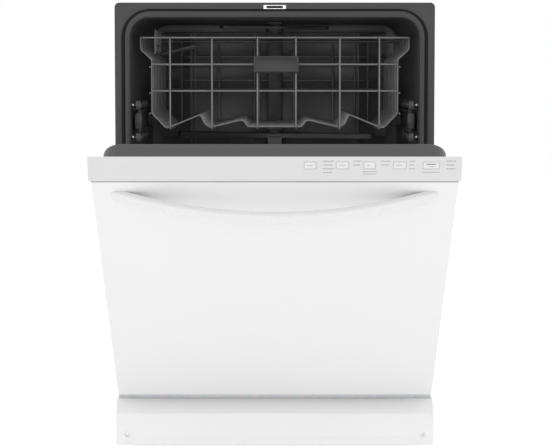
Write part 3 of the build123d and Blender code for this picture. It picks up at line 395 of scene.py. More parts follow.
def set_stage():
    """White surroundings, a pale glowing floor, four lamps and the camera in front."""
    scene = bpy.context.scene
    scene.view_settings.view_transform = "Standard"
    world = bpy.data.worlds.new("studio")
    world.use_nodes = True
    world.node_tree.nodes["Background"].inputs["Color"].default_value = (1, 1, 1, 1)
    world.node_tree.nodes["Background"].inputs["Strength"].default_value = 1.0
    scene.world = world
    eye = bpy.data.cameras.new("camera")
    eye.sensor_width, eye.lens, eye.shift_x = 36.0, LENS, SHIFT_X
    camera = bpy.data.objects.new("camera", eye)
    camera.location = EYE_PLACE
    camera.rotation_euler = (radians(90 - EYE_PITCH), 0, 0)
    scene.collection.objects.link(camera)
    scene.camera = camera
    for name, place, size, watts in LAMPS:
        lamp = bpy.data.lights.new(name, "AREA")
        lamp.size, lamp.energy = size, watts
        light = bpy.data.objects.new(name, lamp)
        light.location = place
        light.rotation_euler = (Vector((0, 0, 0.5)) - Vector(place)).to_track_quat("-Z", "Y").to_euler()
        scene.collection.objects.link(light)
    half = FLOOR_HALF
    mesh = bpy.data.meshes.new("floor")
    mesh.from_pydata([(-half, -half, 0), (half, -half, 0), (half, half, 0), (-half, half, 0)], [],
                     [(0, 1, 2, 3)])
    pale = material("studio_floor", (0.62, 0.62, 0.62), 0.6, grain=(60, 0.02), blotch=0.01)
    glow = pale.node_tree.nodes["Principled BSDF"]
    glow.inputs["Emission Color"].default_value = (1, 1, 1, 1)
    glow.inputs["Emission Strength"].default_value = FLOOR_GLOW
    mesh.materials.append(pale)
    floor = bpy.data.objects.new("floor", mesh)
    scene.collection.objects.link(floor)


# ---- door -----------------------------------------------------------------------------------------
DOOR_HALF, DOOR_LOW, DOOR_HIGH, DOOR_FRONT = 301.0, -45.0, 634.5, 60.0
SHEET = 1.2
CONSOLE_HALF, CONSOLE_LOW, CONSOLE_BACK, LINER_TOP = 304.0, 637.2, 40.3, 674.5
KEYS = {"cycles_button": (47, 68), "temp_button": (99, 121), "dry_button": (144, 164),
        "delay_button": (192, 214), "start_button": (240, 268)}
KEY_BARS = {"cycles_button": 10, "temp_button": 10, "dry_button": 7, "delay_button": 11,
            "start_button": 16}
KEY_V, KEY_H, KEY_FIT = 4.8, 14.0, 0.25


def door_panel():
    """The enamelled outer sheet, folded back round all four sides."""
    shape = Shape(on_door)
    back = 42.0
    edge = [(back, 0.0), (57.0, 0.0), (58.7, 0.35), (59.6, 1.2), (DOOR_FRONT, 2.8)]
    loops = []
    for w, inset in edge:
        outline = rounded_rect(DOOR_HALF - inset, DOOR_LOW + inset, DOOR_HIGH - inset, 3.2 - inset * 0.6)
        loops.append([(x, h, w) for x, h in outline])
    hollow = rounded_rect(DOOR_HALF - SHEET, DOOR_LOW + SHEET, DOOR_HIGH - SHEET, 2.4)
    inner, deep = [[(x, h, w) for x, h in hollow] for w in (back, 57.5)]
    shape.loops([deep, inner] + loops)
    shape.make("door_panel", [FINISH["door_enamel"]], "door", ["door_outer_panel"], smooth=35)


def console():
    """The white control housing: a rounded wedge with a key window for each key."""
    shape = Shape(on_door)
    section = rounded([(CONSOLE_LOW, CONSOLE_BACK, 0), (CONSOLE_LOW, FASCIA_LOW[1], 0), (*FASCIA_LOW, 0),
                       (677.2, CONSOLE_BACK, 0), (660.0, CONSOLE_BACK, 0)], [1.2, 2.4, 1.0], 5)
    ends = ((0, 0.985), (0.6, 0.996), (1.6, 1.0))
    stations = [(inset - CONSOLE_HALF, shrink) for inset, shrink in ends]
    stations += [(CONSOLE_HALF - inset, shrink) for inset, shrink in reversed(ends)]
    mid_h, mid_w = 655, 50
    shape.loops([[(x, mid_h + (p.x - mid_h) * shrink, mid_w + (p.y - mid_w) * shrink) for p in section]
                 for x, shrink in stations])
    body = shape.make("console", [FINISH["console_plastic"]], "door", ["door_console"], smooth=32)
    cutters = []
    for name, (x0, x1) in KEYS.items():
        window = Shape(on_fascia)
        mid = (x0 + x1) / 2
        outline = rounded_rect((x1 - x0) / 2, -KEY_H / 2, KEY_H / 2, 2.0)
        window.plate([(mid + x, KEY_V + y) for x, y in outline], -2.2, 4)
        cutters.append(loose(window, name + "_cut"))
    with_holes(body, cutters)


def keys():
    """Flush keys with a printed outline and a generic bar where a word would be."""
    bar_low, bar_high, pitch = 0.25, 0.37, 2.4
    for name, (x0, x1) in KEYS.items():
        shape = Shape(on_fascia)
        mid, half, tall = (x0 + x1) / 2, (x1 - x0) / 2 - KEY_FIT, KEY_H / 2 - KEY_FIT
        loops = []
        for n, inset in ((-5, 0), (-0.1, 0), (0.12, 0.12), (0.25, 0.4), (0.3, 1.0)):
            outline = rounded_rect(half - inset, -tall + inset, tall - inset, 1.8 - inset * 0.5)
            loops.append([(mid + x, KEY_V + y, n) for x, y in outline])
        shape.loops(loops)
        ring = []
        for inset, n in ((0.75, 0.28), (0.75, 0.36), (1.15, 0.36), (1.15, 0.28)):
            outline = rounded_rect(half - inset, -tall + inset, tall - inset, 1.3)
            ring.append([(mid + x, KEY_V + y, n) for x, y in outline])
        shape.loops(ring + [ring[0]], 1, False, False)
        length = KEY_BARS[name]
        if name == "start_button":
            for reach, v0, v1 in ((length / 2, 0.9, 3.1), (4.5, -2.6, -1.7)):
                shape.box((mid - reach, KEY_V + v0, bar_low), (mid + reach, KEY_V + v1, bar_high), 1)
        else:
            for k in range(int(length // pitch)):
                left = mid - length / 2 + k * pitch
                shape.box((left, KEY_V - 0.8, bar_low), (left + 1.5, KEY_V + 0.8, bar_high), 1)
        shape.make(name + "_cap", [FINISH["key_plastic"], PRINT_GREY], name, [name])


# lamp columns: x, number of rows, length of the marks beside them
LAMP_COLUMNS = ((79, 4, 15), (128, 2, 10), (173, 2, 12), (219, 3, 7), (279, 3, 13))
LABEL_GAP = 1.2
LAMP_TOP_V, LAMP_PITCH = 12.2, 6.7
# rows of marks under the keys: middle x, v, length
UNDER_KEYS = ((154, -6.4, 24), (154, -10.6, 21), (254, -7.4, 28))


def dashes(marks, start, end, v, half_tall, widths, gap, first=0):
    """A row of short marks where words would be."""
    cursor, step = start, first
    while cursor < end:
        wide = widths[step % len(widths)]
        marks.box((cursor, v - half_tall, -0.3), (cursor + wide, v + half_tall, 0.1))
        cursor += wide + gap
        step += 1


def console_print():
    """Greeked option names beside each indicator, and the lamps themselves."""
    marks, lamps = Shape(on_fascia), Shape(on_fascia)
    lens = [(0.82, 0), (0.82, 2.02), (0.6, 2.2), (0.2, 2.28)]
    for x, rows, length in LAMP_COLUMNS:
        for k in range(rows):
            v = LAMP_TOP_V - LAMP_PITCH * k
            lamps.lathe((x, v, -2.0), (0, 0, 1), lens, sides=16)
            start = x + LABEL_GAP
            end = start + length * (0.82 if k % 2 else 1.0)
            dashes(marks, start, end, v, 0.75, (1.5, 1.1, 1.8, 1.3), 0.55, k)
    for x, v, length in UNDER_KEYS:
        dashes(marks, x - length / 2, x + length / 2, v, 0.6, (1.2, 0.9, 1.5), 0.5)
    marks.make("console_print", [PRINT_GREY], "door")
    lamps.make("indicator_lamps", [FINISH["lamp_lens"]], "door", ["indicator_lights"])


def handle():
    """The bowed bar: a tall flat-faced section swept along an arc that runs into the panel."""
    shape = Shape(on_door)
    reach, half, height, thick, tall = 47.5, 262.0, 595.5, 11.0, 26.0
    radius = (half * half + reach * reach) / (2 * reach)
    span = atan2(half, radius - reach)
    section = rounded_rect(thick / 2, -tall / 2, tall / 2, 3.2, 6)
    steps, overrun, taper = 48, 1.03, 2.5
    loops = []
    for k in range(2 * steps + 1):
        turn = span * (k / steps - 1) * overrun
        end = max(abs(k - steps) - (steps - taper), 0) / taper
        scale = 1 - 0.35 * end * end
        out = Vector((sin(turn), cos(turn)))
        centre = Vector((radius * sin(turn), DOOR_FRONT - 1.0 + reach - radius + radius * cos(turn)))
        loops.append([(centre.x + out.x * x * scale, height + h * scale, centre.y + out.y * x * scale)
                      for x, h in section])
    shape.loops(loops)
    shape.make("handle", [FINISH["handle_plastic"]], "door", ["door_handle"], smooth=50)


def liner():
    """The moulded inner door: a flanged tray with a raised pan and pressed beads."""
    shape = Shape(on_door)

    def loop(half, low, high, radius, w):
        return [(x, h, w) for x, h in rounded_rect(half, low, high, radius, 10)]

    top = LINER_TOP
    shape.loops([loop(279, 26, top - 2, 29, 38.0), loop(279, 26, top - 2, 29, 40.0),
                 loop(281, 24, top, 31, 40.0), loop(281, 24, top, 31, 15.4),
                 loop(280.5, 24.5, top - 0.5, 30.5, 13.9), loop(279.2, 25.8, top - 1.8, 29.2, 13.0),
                 loop(264.5, 26.5, 632.0, 30, 13.0), loop(262.6, 26, 630.8, 29, 12.2),
                 loop(262.0, 25, 630.0, 28, 10.2), loop(260.8, 25, 628.8, 27.5, -6.4),
                 loop(259.6, 26, 627.6, 27, -8.3), loop(257.2, 28, 625.2, 25, -9.0),
                 loop(238, 62, 604, 22, -9.0), loop(236.8, 63.2, 602.8, 21, -8.4),
                 loop(236, 64, 602, 20, -7.2), loop(234.8, 65.2, 600.8, 19.5, -7.0)])
    shape.box((-255, -38, 30), (255, 24.5, 40))
    shape.make("liner", [FINISH["liner_plastic"]], "door", ["door_liner"], smooth=38)
    trim = Shape(on_door)
    for h in (120, 160, 200, 470, 510, 550):
        trim.tube([(-200, h, -7.0), (200, h, -7.0)], 3.0, sides=12)
    trim.make("liner_beads", [FINISH["liner_plastic"]], "door", smooth=60)
    # grey strips in the gap under the console and along the panel's top edge: a painted shadow line, not a part
    gap = Shape(on_door)
    gap.box((-299, DOOR_HIGH + 0.1, 43), (299, CONSOLE_LOW - 0.1, 58.9))
    gap.box((-300.4, DOOR_HIGH - 2.6, 59.4), (300.4, DOOR_HIGH + 0.1, DOOR_FRONT + 0.25))
    gap.make("console_seam_painted_shadow", [SEAM_PAINTED_SHADOW], "door")
    seal = Shape(on_door)
    seal.box((-255, DOOR_LOW + 3, 40.3), (255, -14, 42.2))
    for k in range(3):
        seal.tube([(-254, DOOR_LOW + 5 + 4 * k, 41.8), (254, DOOR_LOW + 5 + 4 * k, 41.8)], 0.8, sides=8)
    seal.make("door_bottom_seal", [FINISH["gasket_rubber"]], "door", smooth=60)


def dispenser():
    """Detergent and rinse-aid dispenser with its lid, latch and cap."""
    refined("dispenser_housing", 1.2, 3)
    mark = Shape(on_door)
    for k in range(3):
        mark.box((80, 300 + 14 * k, -11.3), (88, 306 + 14 * k, -11.0))
    mark.lathe((45, 330, -11.0), (0, 0, -1), [(24, 0), (24, 0.8), (23, 1.2), (21.6, 1.2), (21, 0.3)],
               sides=48)
    mark.make("dispenser_marks", [FINISH["cap_plastic"]], "door")
    refined("dispenser_lid", 1.1, 3)
    grip = Shape(on_door)
    for k in range(5):
        grip.tube([(-70, 296 + 9 * k, -14.5), (-12, 296 + 9 * k, -14.5)], 1.1, sides=8)
    grip.make("dispenser_lid_ribs", [FINISH["dispenser_plastic"]], "dispenser_lid", smooth=60)
    refined("rinse_aid_cap", 1.0, 3)
    arrow = Shape(on_door)
    arrow.plate([(45, 346), (41, 340), (49, 340)], -12.9, -12.4)
    arrow.make("rinse_cap_arrow", [FINISH["lamp_lens"]], "rinse_aid_cap")


def screw_head(shape, centre, axis, radius, mat=0, slot_mat=1):
    """A pan head with a cross recess drawn as two flat bars in the second material; black bars are painted shade.
    """
    d = Vector(axis).normalized()
    shape.lathe(centre, axis, [(radius * 1.25, 0), (radius * 1.25, radius * 0.12), (radius, radius * 0.16),
                               (radius * 0.92, radius * 0.45), (radius * 0.6, radius * 0.62),
                               (radius * 0.05, radius * 0.66)], mat, 24)
    side = d.orthogonal().normalized()
    up = d.cross(side)
    for a, b in ((side, up), (up, side)):
        tip = Vector(centre) + d * radius * 0.64
        corners = [tip + a * radius * 0.5 * s + b * radius * 0.13 * t + d * 0.05 * radius
                   for s, t in ((-1, -1), (1, -1), (1, 1), (-1, 1))]
        shape.add(corners, [(0, 1, 2, 3)], slot_mat)


def door_edges():
    """Screws through the liner's rim and the latch's guide."""
    shape = Shape()
    for side in (-1, 1):
        for h in (90, 240, 390, 540, 640):
            screw_head(shape, on_door((side * 272, h, 13.0)), -OUT_DOOR, 3.4)
    shape.make("liner_screws", [FINISH["bright_steel"], HOLE_SHADE_BLACK], "door", smooth=35)
    guide = Shape(on_door)
    for x0, x1, h0, h1 in ((-19, 19, 661.5, 664), (-19, 19, 650.5, 653), (-19, -16, 653, 661.5),
                           (16, 19, 653, 661.5)):
        guide.box((x0, h0, 11.0), (x1, h1, 13.2))
    guide.make("latch_guide", [FINISH["sump_plastic"]], "door", bevel=0.5)
    refined("latch_hook", 0.5, mat=FINISH["motor_enamel"])


# ---- tub and cabinet --------------------------------------------------------------------------------
FACE_Y = box_mm("tub")[0].y
OPEN_HALF, OPEN_LOW, OPEN_HIGH = 274.5, 178.0, 818.0


def tub():
    """The grey shell, with its seal, latch window and rolled mouth; inside it is shinier and painted lighter,
    painted light to lift the shade there.
    """
    shell = refined("tub", 0.7)
    shell.data.materials.append(TUB_INSIDE_PAINTED_FILL)
    # faces inside the tub take the lighter copy of its plastic: painted light where shade falls
    for face in shell.data.polygons:
        inward = face.normal.x * face.center.x + face.normal.z * (face.center.z - 0.5)
        if face.center.y / MM > FACE_Y + 1.0 and (inward < 0 or face.normal.y < -0.9):
            face.material_index = 1
    refined("door_gasket", 1.4, 3)
    refined("latch_strike", 0.35)
    pocket = Shape()
    low, high = box_mm("latch_strike")
    pocket.box((low.x - 3, FACE_Y + 4.3, low.z - 6), (high.x + 3, FACE_Y + 15, high.z + 1.5))
    for k in range(4):
        x = low.x + 8 + k * (high.x - low.x - 16) / 3
        pocket.box((x - 2.2, FACE_Y - 0.2, low.z + 2.2), (x + 2.2, FACE_Y + 4.5, high.z - 3.4))
    pocket.make("latch_pocket", [FINISH["sump_plastic"]], "chassis", bevel=0.3)
    # rolled lip round the mouth, ending behind the door's lower part
    lip = Shape()
    out, y, foot = 1.6, FACE_Y - 0.2, 230
    mouth = rounded_rect(OPEN_HALF + out, OPEN_LOW - out, OPEN_HIGH + out, 39.6, 14)
    arch = [(x, y, z) for x, z in mouth if z > OPEN_HIGH - 100]
    lip.tube([(OPEN_HALF + out, y, foot)] + arch + [(-OPEN_HALF - out, y, foot)], 1.7, sides=10)
    lip.make("tub_mouth_lip", [FINISH["tub_plastic"]], "chassis", smooth=60)


def puff(t):
    """How far the quilting stands out, t stitches along: 0 on a stitch line and 1 between two."""
    return abs(sin(pi * t)) ** 0.45


def blanket():
    """The felted sound blanket: quilted, with stitched channels."""
    low, high = box_mm("tub_insulation")
    half, top, bottom = high.x, high.z, low.z
    y0, y1 = low.y, high.y
    thick, bend, tuft = 7.0, 46, 126.0
    across = rounded([(-half, 0, bottom), (-half, 0, top), (half, 0, top), (half, 0, bottom)], bend, 10)
    path, gap = [across[0]], 14.0
    for a, b in zip(across, across[1:]):
        count = max(int((b - a).length / gap), 1)
        path += [a.lerp(b, (k + 1) / count) for k in range(count)]
    centre = Vector((0, 0, (top + bottom) / 2))
    rows = 28
    outer, inner = [], []
    lengths = [0.0]
    for a, b in zip(path, path[1:]):
        lengths.append(lengths[-1] + (b - a).length)
    for r in range(rows + 1):
        y = y0 + (y1 - y0) * r / rows
        ring_out, ring_in = [], []
        for k, p in enumerate(path):
            before, after = path[max(k - 1, 0)], path[min(k + 1, len(path) - 1)]
            run = (after - before).normalized()
            out = Vector((-run.z, 0, run.x))
            if out.dot(p - centre) < 0:
                out = -out
            quilt = puff((y - y0) / 95.0) * puff(lengths[k] / tuft)
            rough = noise.noise(Vector((p.x, y, p.z)) * 0.02) * 1.2
            depth = -3.6 + 3.3 * quilt + rough
            q = Vector((p.x, y, p.z)) + out * min(depth, 0.5)
            ring_out.append(q)
            ring_in.append(Vector((p.x, y, p.z)) - out * thick)
        outer.append(ring_out)
        inner.append(ring_in)
    shape = Shape()
    rings = [o + list(reversed(i)) for o, i in zip(outer, inner)]
    shape.loops(rings)
    side = shape.make("sound_blanket", [FINISH["sound_blanket"]], "chassis", ["tub_insulation"], smooth=60)
    back = Shape()
    nx, nz = 36, 36
    front_face, rear_face = [], []
    for j in range(nz + 1):
        z = bottom + (top - bottom - 3) * j / nz
        row_a, row_b = [], []
        for i in range(nx + 1):
            edge = half - 3 - (bend - sqrt(max(bend ** 2 - max(z - (top - bend), 0) ** 2, 0)))
            x = -edge + 2 * edge * i / nx
            quilt = puff(x / 115.0) * puff((z - bottom) / tuft)
            depth = 3.0 * quilt + noise.noise(Vector((x, 7, z)) * 0.02) * 1.0
            row_a.append((x, y1 - 4.2 + min(depth, 3.9), z))
            row_b.append((x, y1 - 9.0, z))
        front_face.append(row_a)
        rear_face.append(row_b)
    back.loops([a + list(reversed(b)) for a, b in zip(front_face, rear_face)])
    rear = back.make("sound_blanket_rear", [FINISH["sound_blanket"]], "chassis", smooth=60)
    straps = Shape()
    for y in (y0 + 70, y1 - 90):
        wide, high_up, foot = half + 0.4, top + 0.4, bottom + 40
        strap = rounded([(-wide, y, foot), (-wide, y, high_up), (wide, y, high_up), (wide, y, foot)],
                        bend, 12)
        loops = []
        for p in strap:
            out = Vector((p.x, 0, p.z - centre.z)).normalized() * 0.9
            edge = Vector((0, 11, 0))
            loops.append([p - edge, p + edge, p + edge + out, p - edge + out])
        straps.loops(loops)
    straps.make("blanket_straps", [FINISH["sump_plastic"]], "chassis", smooth=50)


def toe_panel():
    """The toe panel with its screws, its rolled lower hem and a strip behind its top."""
    refined("kick_panel", 0.6)
    shape = Shape()
    low, high = box_mm("kick_panel_screws")
    z, y = (high.z + low.z) / 2, box_mm("kick_panel")[0].y
    for side in (-1, 1):
        x = side * 283.6
        screw_head(shape, (x, y - 0.05, z), (0, -1, 0), 4.0)
        shape.tube([(x, y + 1, z), (x, y + 20, z)], 2.1)
    shape.make("toe_panel_screws", [FINISH["bright_steel"], FINISH["zinc_steel"]], "chassis",
               ["kick_panel_screws"])
    backing = Shape()
    backing.box((-300, -3, 86), (300, -1, 99))
    backing.make("toe_panel_backing", [FINISH["galvanised_steel"]], "chassis", bevel=0.4)
    lip = Shape()
    for z, inward, radius in ((2.9, 0.9, 0.9), (9.5, 0.75, 0.95)):
        lip.tube([(-303, y + inward, z), (303, y + inward, z)], radius, sides=8)
    lip.make("toe_panel_hem", [FINISH["toe_panel_enamel"]], "chassis", smooth=60)


def springs():
    """Close-wound door springs with a hook at each end."""
    for side, name in ((-1, "left"), (1, "right")):
        node = f"door_spring_{name}"
        low, high = box_mm(node)
        x = (low.x + high.x) / 2
        anchor, tail = Vector((x, FACE_Y + 95.0, 45.0)), Vector((x, FACE_Y + 46.5, 174.2))
        run = (tail - anchor)
        d, length = run.normalized(), run.length
        up = Vector((1, 0, 0)).cross(d)
        turns, wire, mean, hook = 26, 1.0, 4.8, 3.4
        route = [anchor + up * hook * sin(t) - d * hook * cos(t) for t in (pi * k / 6 for k in range(-1, 5))]
        start, end = 14.0, length - 14.0
        steps = turns * 10
        for k in range(steps + 1):
            t = 2 * pi * k / 10
            along = start + (end - start) * k / steps
            route.append(anchor + d * along + (Vector((1, 0, 0)) * sin(t) + up * cos(t)) * mean)
        route += [tail + up * hook * sin(t) + d * hook * cos(t) for t in (pi * k / 6 for k in range(-4, 2))]
        shape = Shape()
        shape.tube(route, wire, sides=6)
        coil = shape.make(f"door_spring_coil_{name}", [FINISH["spring_steel"]], "chassis", [node],
                          smooth=60)
        coil.parent = None
        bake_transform(coil)


def hardware():
    """CAD pieces whose shape is right, with eased edges and small fittings added."""
    for node, bevel in (("base_frame", 0.8), ("tub_saddles", 0.5), ("hinge_brackets", 0.5),
                        ("mounting_brackets", 0.4), ("hinge_arms", 0.5), ("junction_box", 0.6),
                        ("inlet_valve", 0.8), ("sump", 1.0), ("wash_pump", 1.0), ("drain_pump", 0.8),
                        ("filter_plate", 0.5), ("filter_cylinder", 1.0), ("overflow_float", 0.8),
                        ("spray_feed", 0.8), ("slide_rails", 0.7), ("middle_feed_tube", 0.8),
                        ("heating_element", 0.3), ("control_board", 0.3)):
        refined(node, bevel)
    for side in ("front_left", "front_right", "rear_left", "rear_right"):
        node = f"leveling_foot_{side}"
        refined(node, 0.6)
        low, high = box_mm(node)
        x, y = (low.x + high.x) / 2, (low.y + high.y) / 2
        thread = Shape()
        route = [(x + 5.0 * cos(t), y + 5.0 * sin(t), 15 + 13 * t / (2 * pi * 9))
                 for t in (2 * pi * k / 12 for k in range(12 * 9 + 1))]
        thread.tube(route, 0.45, sides=6)
        thread.make(node + "_thread", [FINISH["zinc_steel"]], node, smooth=60)
    bolts = Shape()
    for side in (-1, 1):
        for y in (FACE_Y + 129, FACE_Y + 503):
            for z in (300, 380, 48):
                screw_head(bolts, (side * 289.2, y, z), (side, 0, 0), 4.2)
    for x in (190, 240):
        screw_head(bolts, (x, FACE_Y + 66, 80), (0, 0, 1), 3.0)
    bolts.make("frame_screws", [FINISH["zinc_steel"], HOLE_SHADE_BLACK], "chassis")
    # the filter's perforations are flat black discs: painted shade in place of holes
    holes = Shape()
    low, high = box_mm("filter_plate")
    cy = (low.y + high.y) / 2
    for ring in range(5):
        radius = 66 + 7 * ring
        z = 161.8 + (radius - 60) * (180.4 - 161.8) / 86 + 0.12
        for k in range(36 + 4 * ring):
            t = 2 * pi * k / (36 + 4 * ring)
            p = Vector((radius * cos(t), cy + radius * sin(t), z))
            holes.lathe(p, (0, 0, 1), [(1.3, 0), (1.3, 0.1)], sides=8)
    holes.make("filter_perforations", [HOLE_SHADE_BLACK], "chassis")
    mesh = Shape()

    def on_filter(radius, turn, z):
        return Vector((radius * cos(turn), cy + radius * sin(turn), 112 + z))

    for k in range(30):
        t = 2 * pi * k / 30
        mesh.tube([on_filter(35.6, t, 0), on_filter(35.6, t, 72)], 0.6, sides=6)
    for k in range(9):
        route = [on_filter(35.8, 2 * pi * n / 32, 2 + 8.5 * k) for n in range(33)]
        mesh.tube(route, 0.5, sides=6, domed=False)
    mesh.make("filter_mesh", [FINISH["screen_steel"]], "filter_cylinder", smooth=60)
    chips = Shape(on_fascia)
    for x in (52, 110, 154, 203, 254):
        chips.box((x - 4, 0.5, -6.8), (x + 4, 7.5, -5.6))
    for x in (70, 90, 130, 180, 225):
        chips.box((x - 3, -11, -6.8), (x + 3, -6, -5.2))
    chips.make("board_parts", [FINISH["motor_enamel"]], "door", bevel=0.2)


# ---- wash arms --------------------------------------------------------------------------------------
def arms():
    """The three spray arms, each with a ridge along its top and jets on both sides of it."""
    for node, reach, twist in (("lower_spray_arm", 185, 28), ("middle_spray_arm", 200, -20),
                               ("ceiling_spray_arm", 105, 20)):
        refined(node, 1.0, 3)
        low, high = box_mm(node)
        centre = Vector((0, (low.y + high.y) / 2, high.z - 4))
        along = Vector((cos(radians(twist)), sin(radians(twist)), 0))
        across = Vector((-along.y, along.x, 0))
        jets = Shape()
        for side in (-1, 1):
            for k in range(5):
                off = 5 if k % 2 else -5
                p = centre + along * side * (reach * (0.28 + 0.17 * k)) + across * off * side
                jets.lathe(p, (0, 0, 1), [(4.2, -0.6), (4.0, 0.5), (3.0, 1.1), (1.6, 1.1), (1.4, 0.2)],
                           0, 16)
                # a black disc on each nozzle: painted shade in the jet's hole
                jets.lathe(p + Vector((0, 0, 0.25)), (0, 0, 1), [(1.5, 0), (1.5, 0.1)], 1, 12)
        ridge = [centre + along * t + Vector((0, 0, -0.6)) for t in (-reach * 0.92, reach * 0.92)]
        jets.tube(ridge, 1.6, 0, 8)
        jets.make(node + "_jets", [FINISH["spray_plastic"], HOLE_SHADE_BLACK], BODY_OF[node], smooth=50)


# ---- racks ------------------------------------------------------------------------------------------
WIRE, RIB_WIRE = 1.75, 1.45
STEP = 2 * WIRE - 0.3                  # from one wire's axis to that of a wire laid across it
RACK_FRONT, RACK_BACK, RACK_TOP, RACK_HALF, RACK_LOW = FACE_Y + 45, FACE_Y + 495, 781.0, 236.0, 609.0
RIB_PROFILE = ((257, 779.5), (257, 758), (RACK_HALF, 739), (RACK_HALF, 636), (210, RACK_LOW),
               (203, RACK_LOW), (142.6, 634), (134, 616), (124, RACK_LOW), (68, 622.5), (60, 622),
               (51, RACK_LOW + 1.5))
RIB_RADII = (8, 8, 16, 14, 8, 5, 4, 6, 6, 5, 4)
LEG_X = (-200.6, -120.4, -33.0, 40.6, 124.9, 200.6)


def rim(half, front, back, z, radius):
    """A closed rectangle of wire at one height, from the middle of its front."""
    return rounded([(0, front, z), (half, front, z), (half, back, z), (-half, back, z), (-half, front, z),
                    (0, front, z)], radius)


def upper_rack():
    """Wavy ribs, lengthwise wires, rims, side wires, the four carriers and the front plate."""
    shape = Shape()
    for k in range(10):
        y = RACK_FRONT + k * (RACK_BACK - RACK_FRONT) / 9
        right = [(x, y, z) for x, z in RIB_PROFILE]
        left = [(-x, y, z) for x, z in reversed(RIB_PROFILE)]
        shape.tube(rounded(right + left, RIB_RADII + RIB_RADII[::-1]), RIB_WIRE)
    for x in LEG_X:
        low = RACK_LOW - STEP + (1.5 if abs(x) < RIB_PROFILE[-1][0] else 0)
        front, back = RACK_FRONT - STEP, RACK_BACK + STEP
        shape.tube(rounded([(x, front, RACK_TOP + 1.5), (x, front, low), (x, back, low),
                            (x, back, RACK_TOP + 1.5)], 8), WIRE)
    shape.tube(rim(258, RACK_FRONT, RACK_BACK, RACK_TOP, 5), WIRE + 0.2, domed=False)
    for y in (RACK_FRONT, RACK_BACK):
        for z in (679, 730):
            shape.tube([(-RACK_HALF, y, z), (RACK_HALF, y, z)], WIRE)
    for side in (-1, 1):
        for z in (636, 675, 725):
            x = side * (RACK_HALF + STEP)
            shape.tube([(x, RACK_FRONT - 6, z), (x, RACK_BACK + 6, z)], WIRE)
    shape.make("upper_rack_wires", [FINISH["rack_coating"]], "upper_rack", ["upper_rack"], smooth=60)
    clips = Shape()
    # reach in x, half depth, and height of the body, the tab in the rail and the back plate
    parts = (((241.0, 252.2), 16, (606, 688)), ((252.0, 259.0), 13, (608, 634)),
             ((239.6, 241.2), 20, (620, 682)))
    for s in (-1, 1):
        for y in (FACE_Y + 285, FACE_Y + 445):
            for (inner, outer), deep, (z0, z1) in parts:
                x0, x1 = sorted((s * inner, s * outer))
                clips.box((x0, y - deep, z0), (x1, y + deep, z1))
    clips.make("rack_clips", [FINISH["rail_plastic"]], "upper_rack", bevel=1.2, segments=3)
    badge = Shape()
    low, high = box_mm("rack_badge")
    mid_x, mid_z = (low.x + high.x) / 2, (low.z + high.z) / 2
    half, tall = (high.x - low.x) / 2, (high.z - low.z) / 2
    loops = []
    for y, inset in ((high.y, 0.6), (high.y - 1, 0.0), (low.y + 1.4, 0.0), (low.y + 0.5, 0.7),
                     (low.y, 2.2), (low.y, 3.4), (low.y + 0.5, 4.0)):
        outline = rounded_rect(half - inset, -tall + inset, tall - inset, 4.0)
        loops.append([(mid_x + x, y, mid_z + z) for x, z in outline])
    badge.loops(loops)
    badge.make("rack_front_plate", [FINISH["badge_plastic"]], "upper_rack", ["rack_badge"], smooth=40)
    back = Shape()
    for x in LEG_X[2:4]:
        back.box((x - 5, low.y + 2.5, 722), (x + 5, RACK_FRONT + 3.2, 738))
    back.make("rack_plate_clips", [FINISH["badge_plastic"]], "upper_rack", bevel=0.8)


def cup_shelf(node, raised):
    """A wire flap on its hinge wire, with a clip at each end."""
    low, high = box_mm(node)
    pivot = Vector(JOINT[node + "_fold"]["pos_m"]) / MM
    lean, width = (radians(90), 45) if raised else (radians(14), 72)
    out = Vector((cos(lean), 0, sin(lean)))
    y0, y1 = low.y + 6, high.y - 6

    def at(u, y):
        return Vector((pivot.x, y, pivot.z)) + out * u

    shape = Shape()
    shape.tube(rounded([at(2, y0), at(width, y0), at(width, y1), at(2, y1)], 12), 1.7)
    shape.tube([at(0, low.y), at(0, high.y)], 2.0)
    for u in (width * 0.34, width * 0.67):
        shape.tube([at(u, y0 + 0.5), at(u, y1 - 0.5)], 1.5)
    for k in range(1, 4):
        y = y0 + (y1 - y0) * k / 4
        shape.tube([at(1, y), at(width - 1, y)], 1.3)
    for y in (y0 + 18, y1 - 18):
        shape.tube([at(0, y - 7), at(0, y + 7)], 3.6, 1, 14)
    shape.make(node + "_wires", [FINISH["rack_coating"], FINISH["rail_plastic"]], node, [node],
               smooth=60)


def roller_pair(node, radius, bore, x0, x1):
    """A grooved wheel on each side of the machine."""
    low, high = box_mm(node)
    y, z = (low.y + high.y) / 2, (low.z + high.z) / 2
    wide = x1 - x0
    shape = Shape()
    for s in (-1, 1):
        shape.lathe((s * x0, y, z), (s, 0, 0),
                    [(bore, 0), (radius - 2.4, 0), (radius - 0.6, 0.3), (radius, 1.0), (radius, wide * 0.36),
                     (radius - 0.5, wide * 0.42), (radius - 0.5, wide * 0.58), (radius, wide * 0.64),
                     (radius, wide - 1), (radius - 0.6, wide - 0.3), (radius - 2.4, wide), (bore, wide)],
                    sides=40, hollow=True)
        # six black discs on each wheel's face: painted shade of holes
        for k in range(6):
            t = pi * k / 3
            ring = radius * 0.58
            hub = Vector((s * (x0 - 0.15), y + ring * cos(t), z + ring * sin(t)))
            shape.lathe(hub, (-s, 0, 0), [(radius * 0.14, -0.2), (radius * 0.14, 0.12)], 1, 12)
    shape.make(node + "_tread", [FINISH["wheel_plastic"], HOLE_SHADE_BLACK], node, [node], smooth=40)


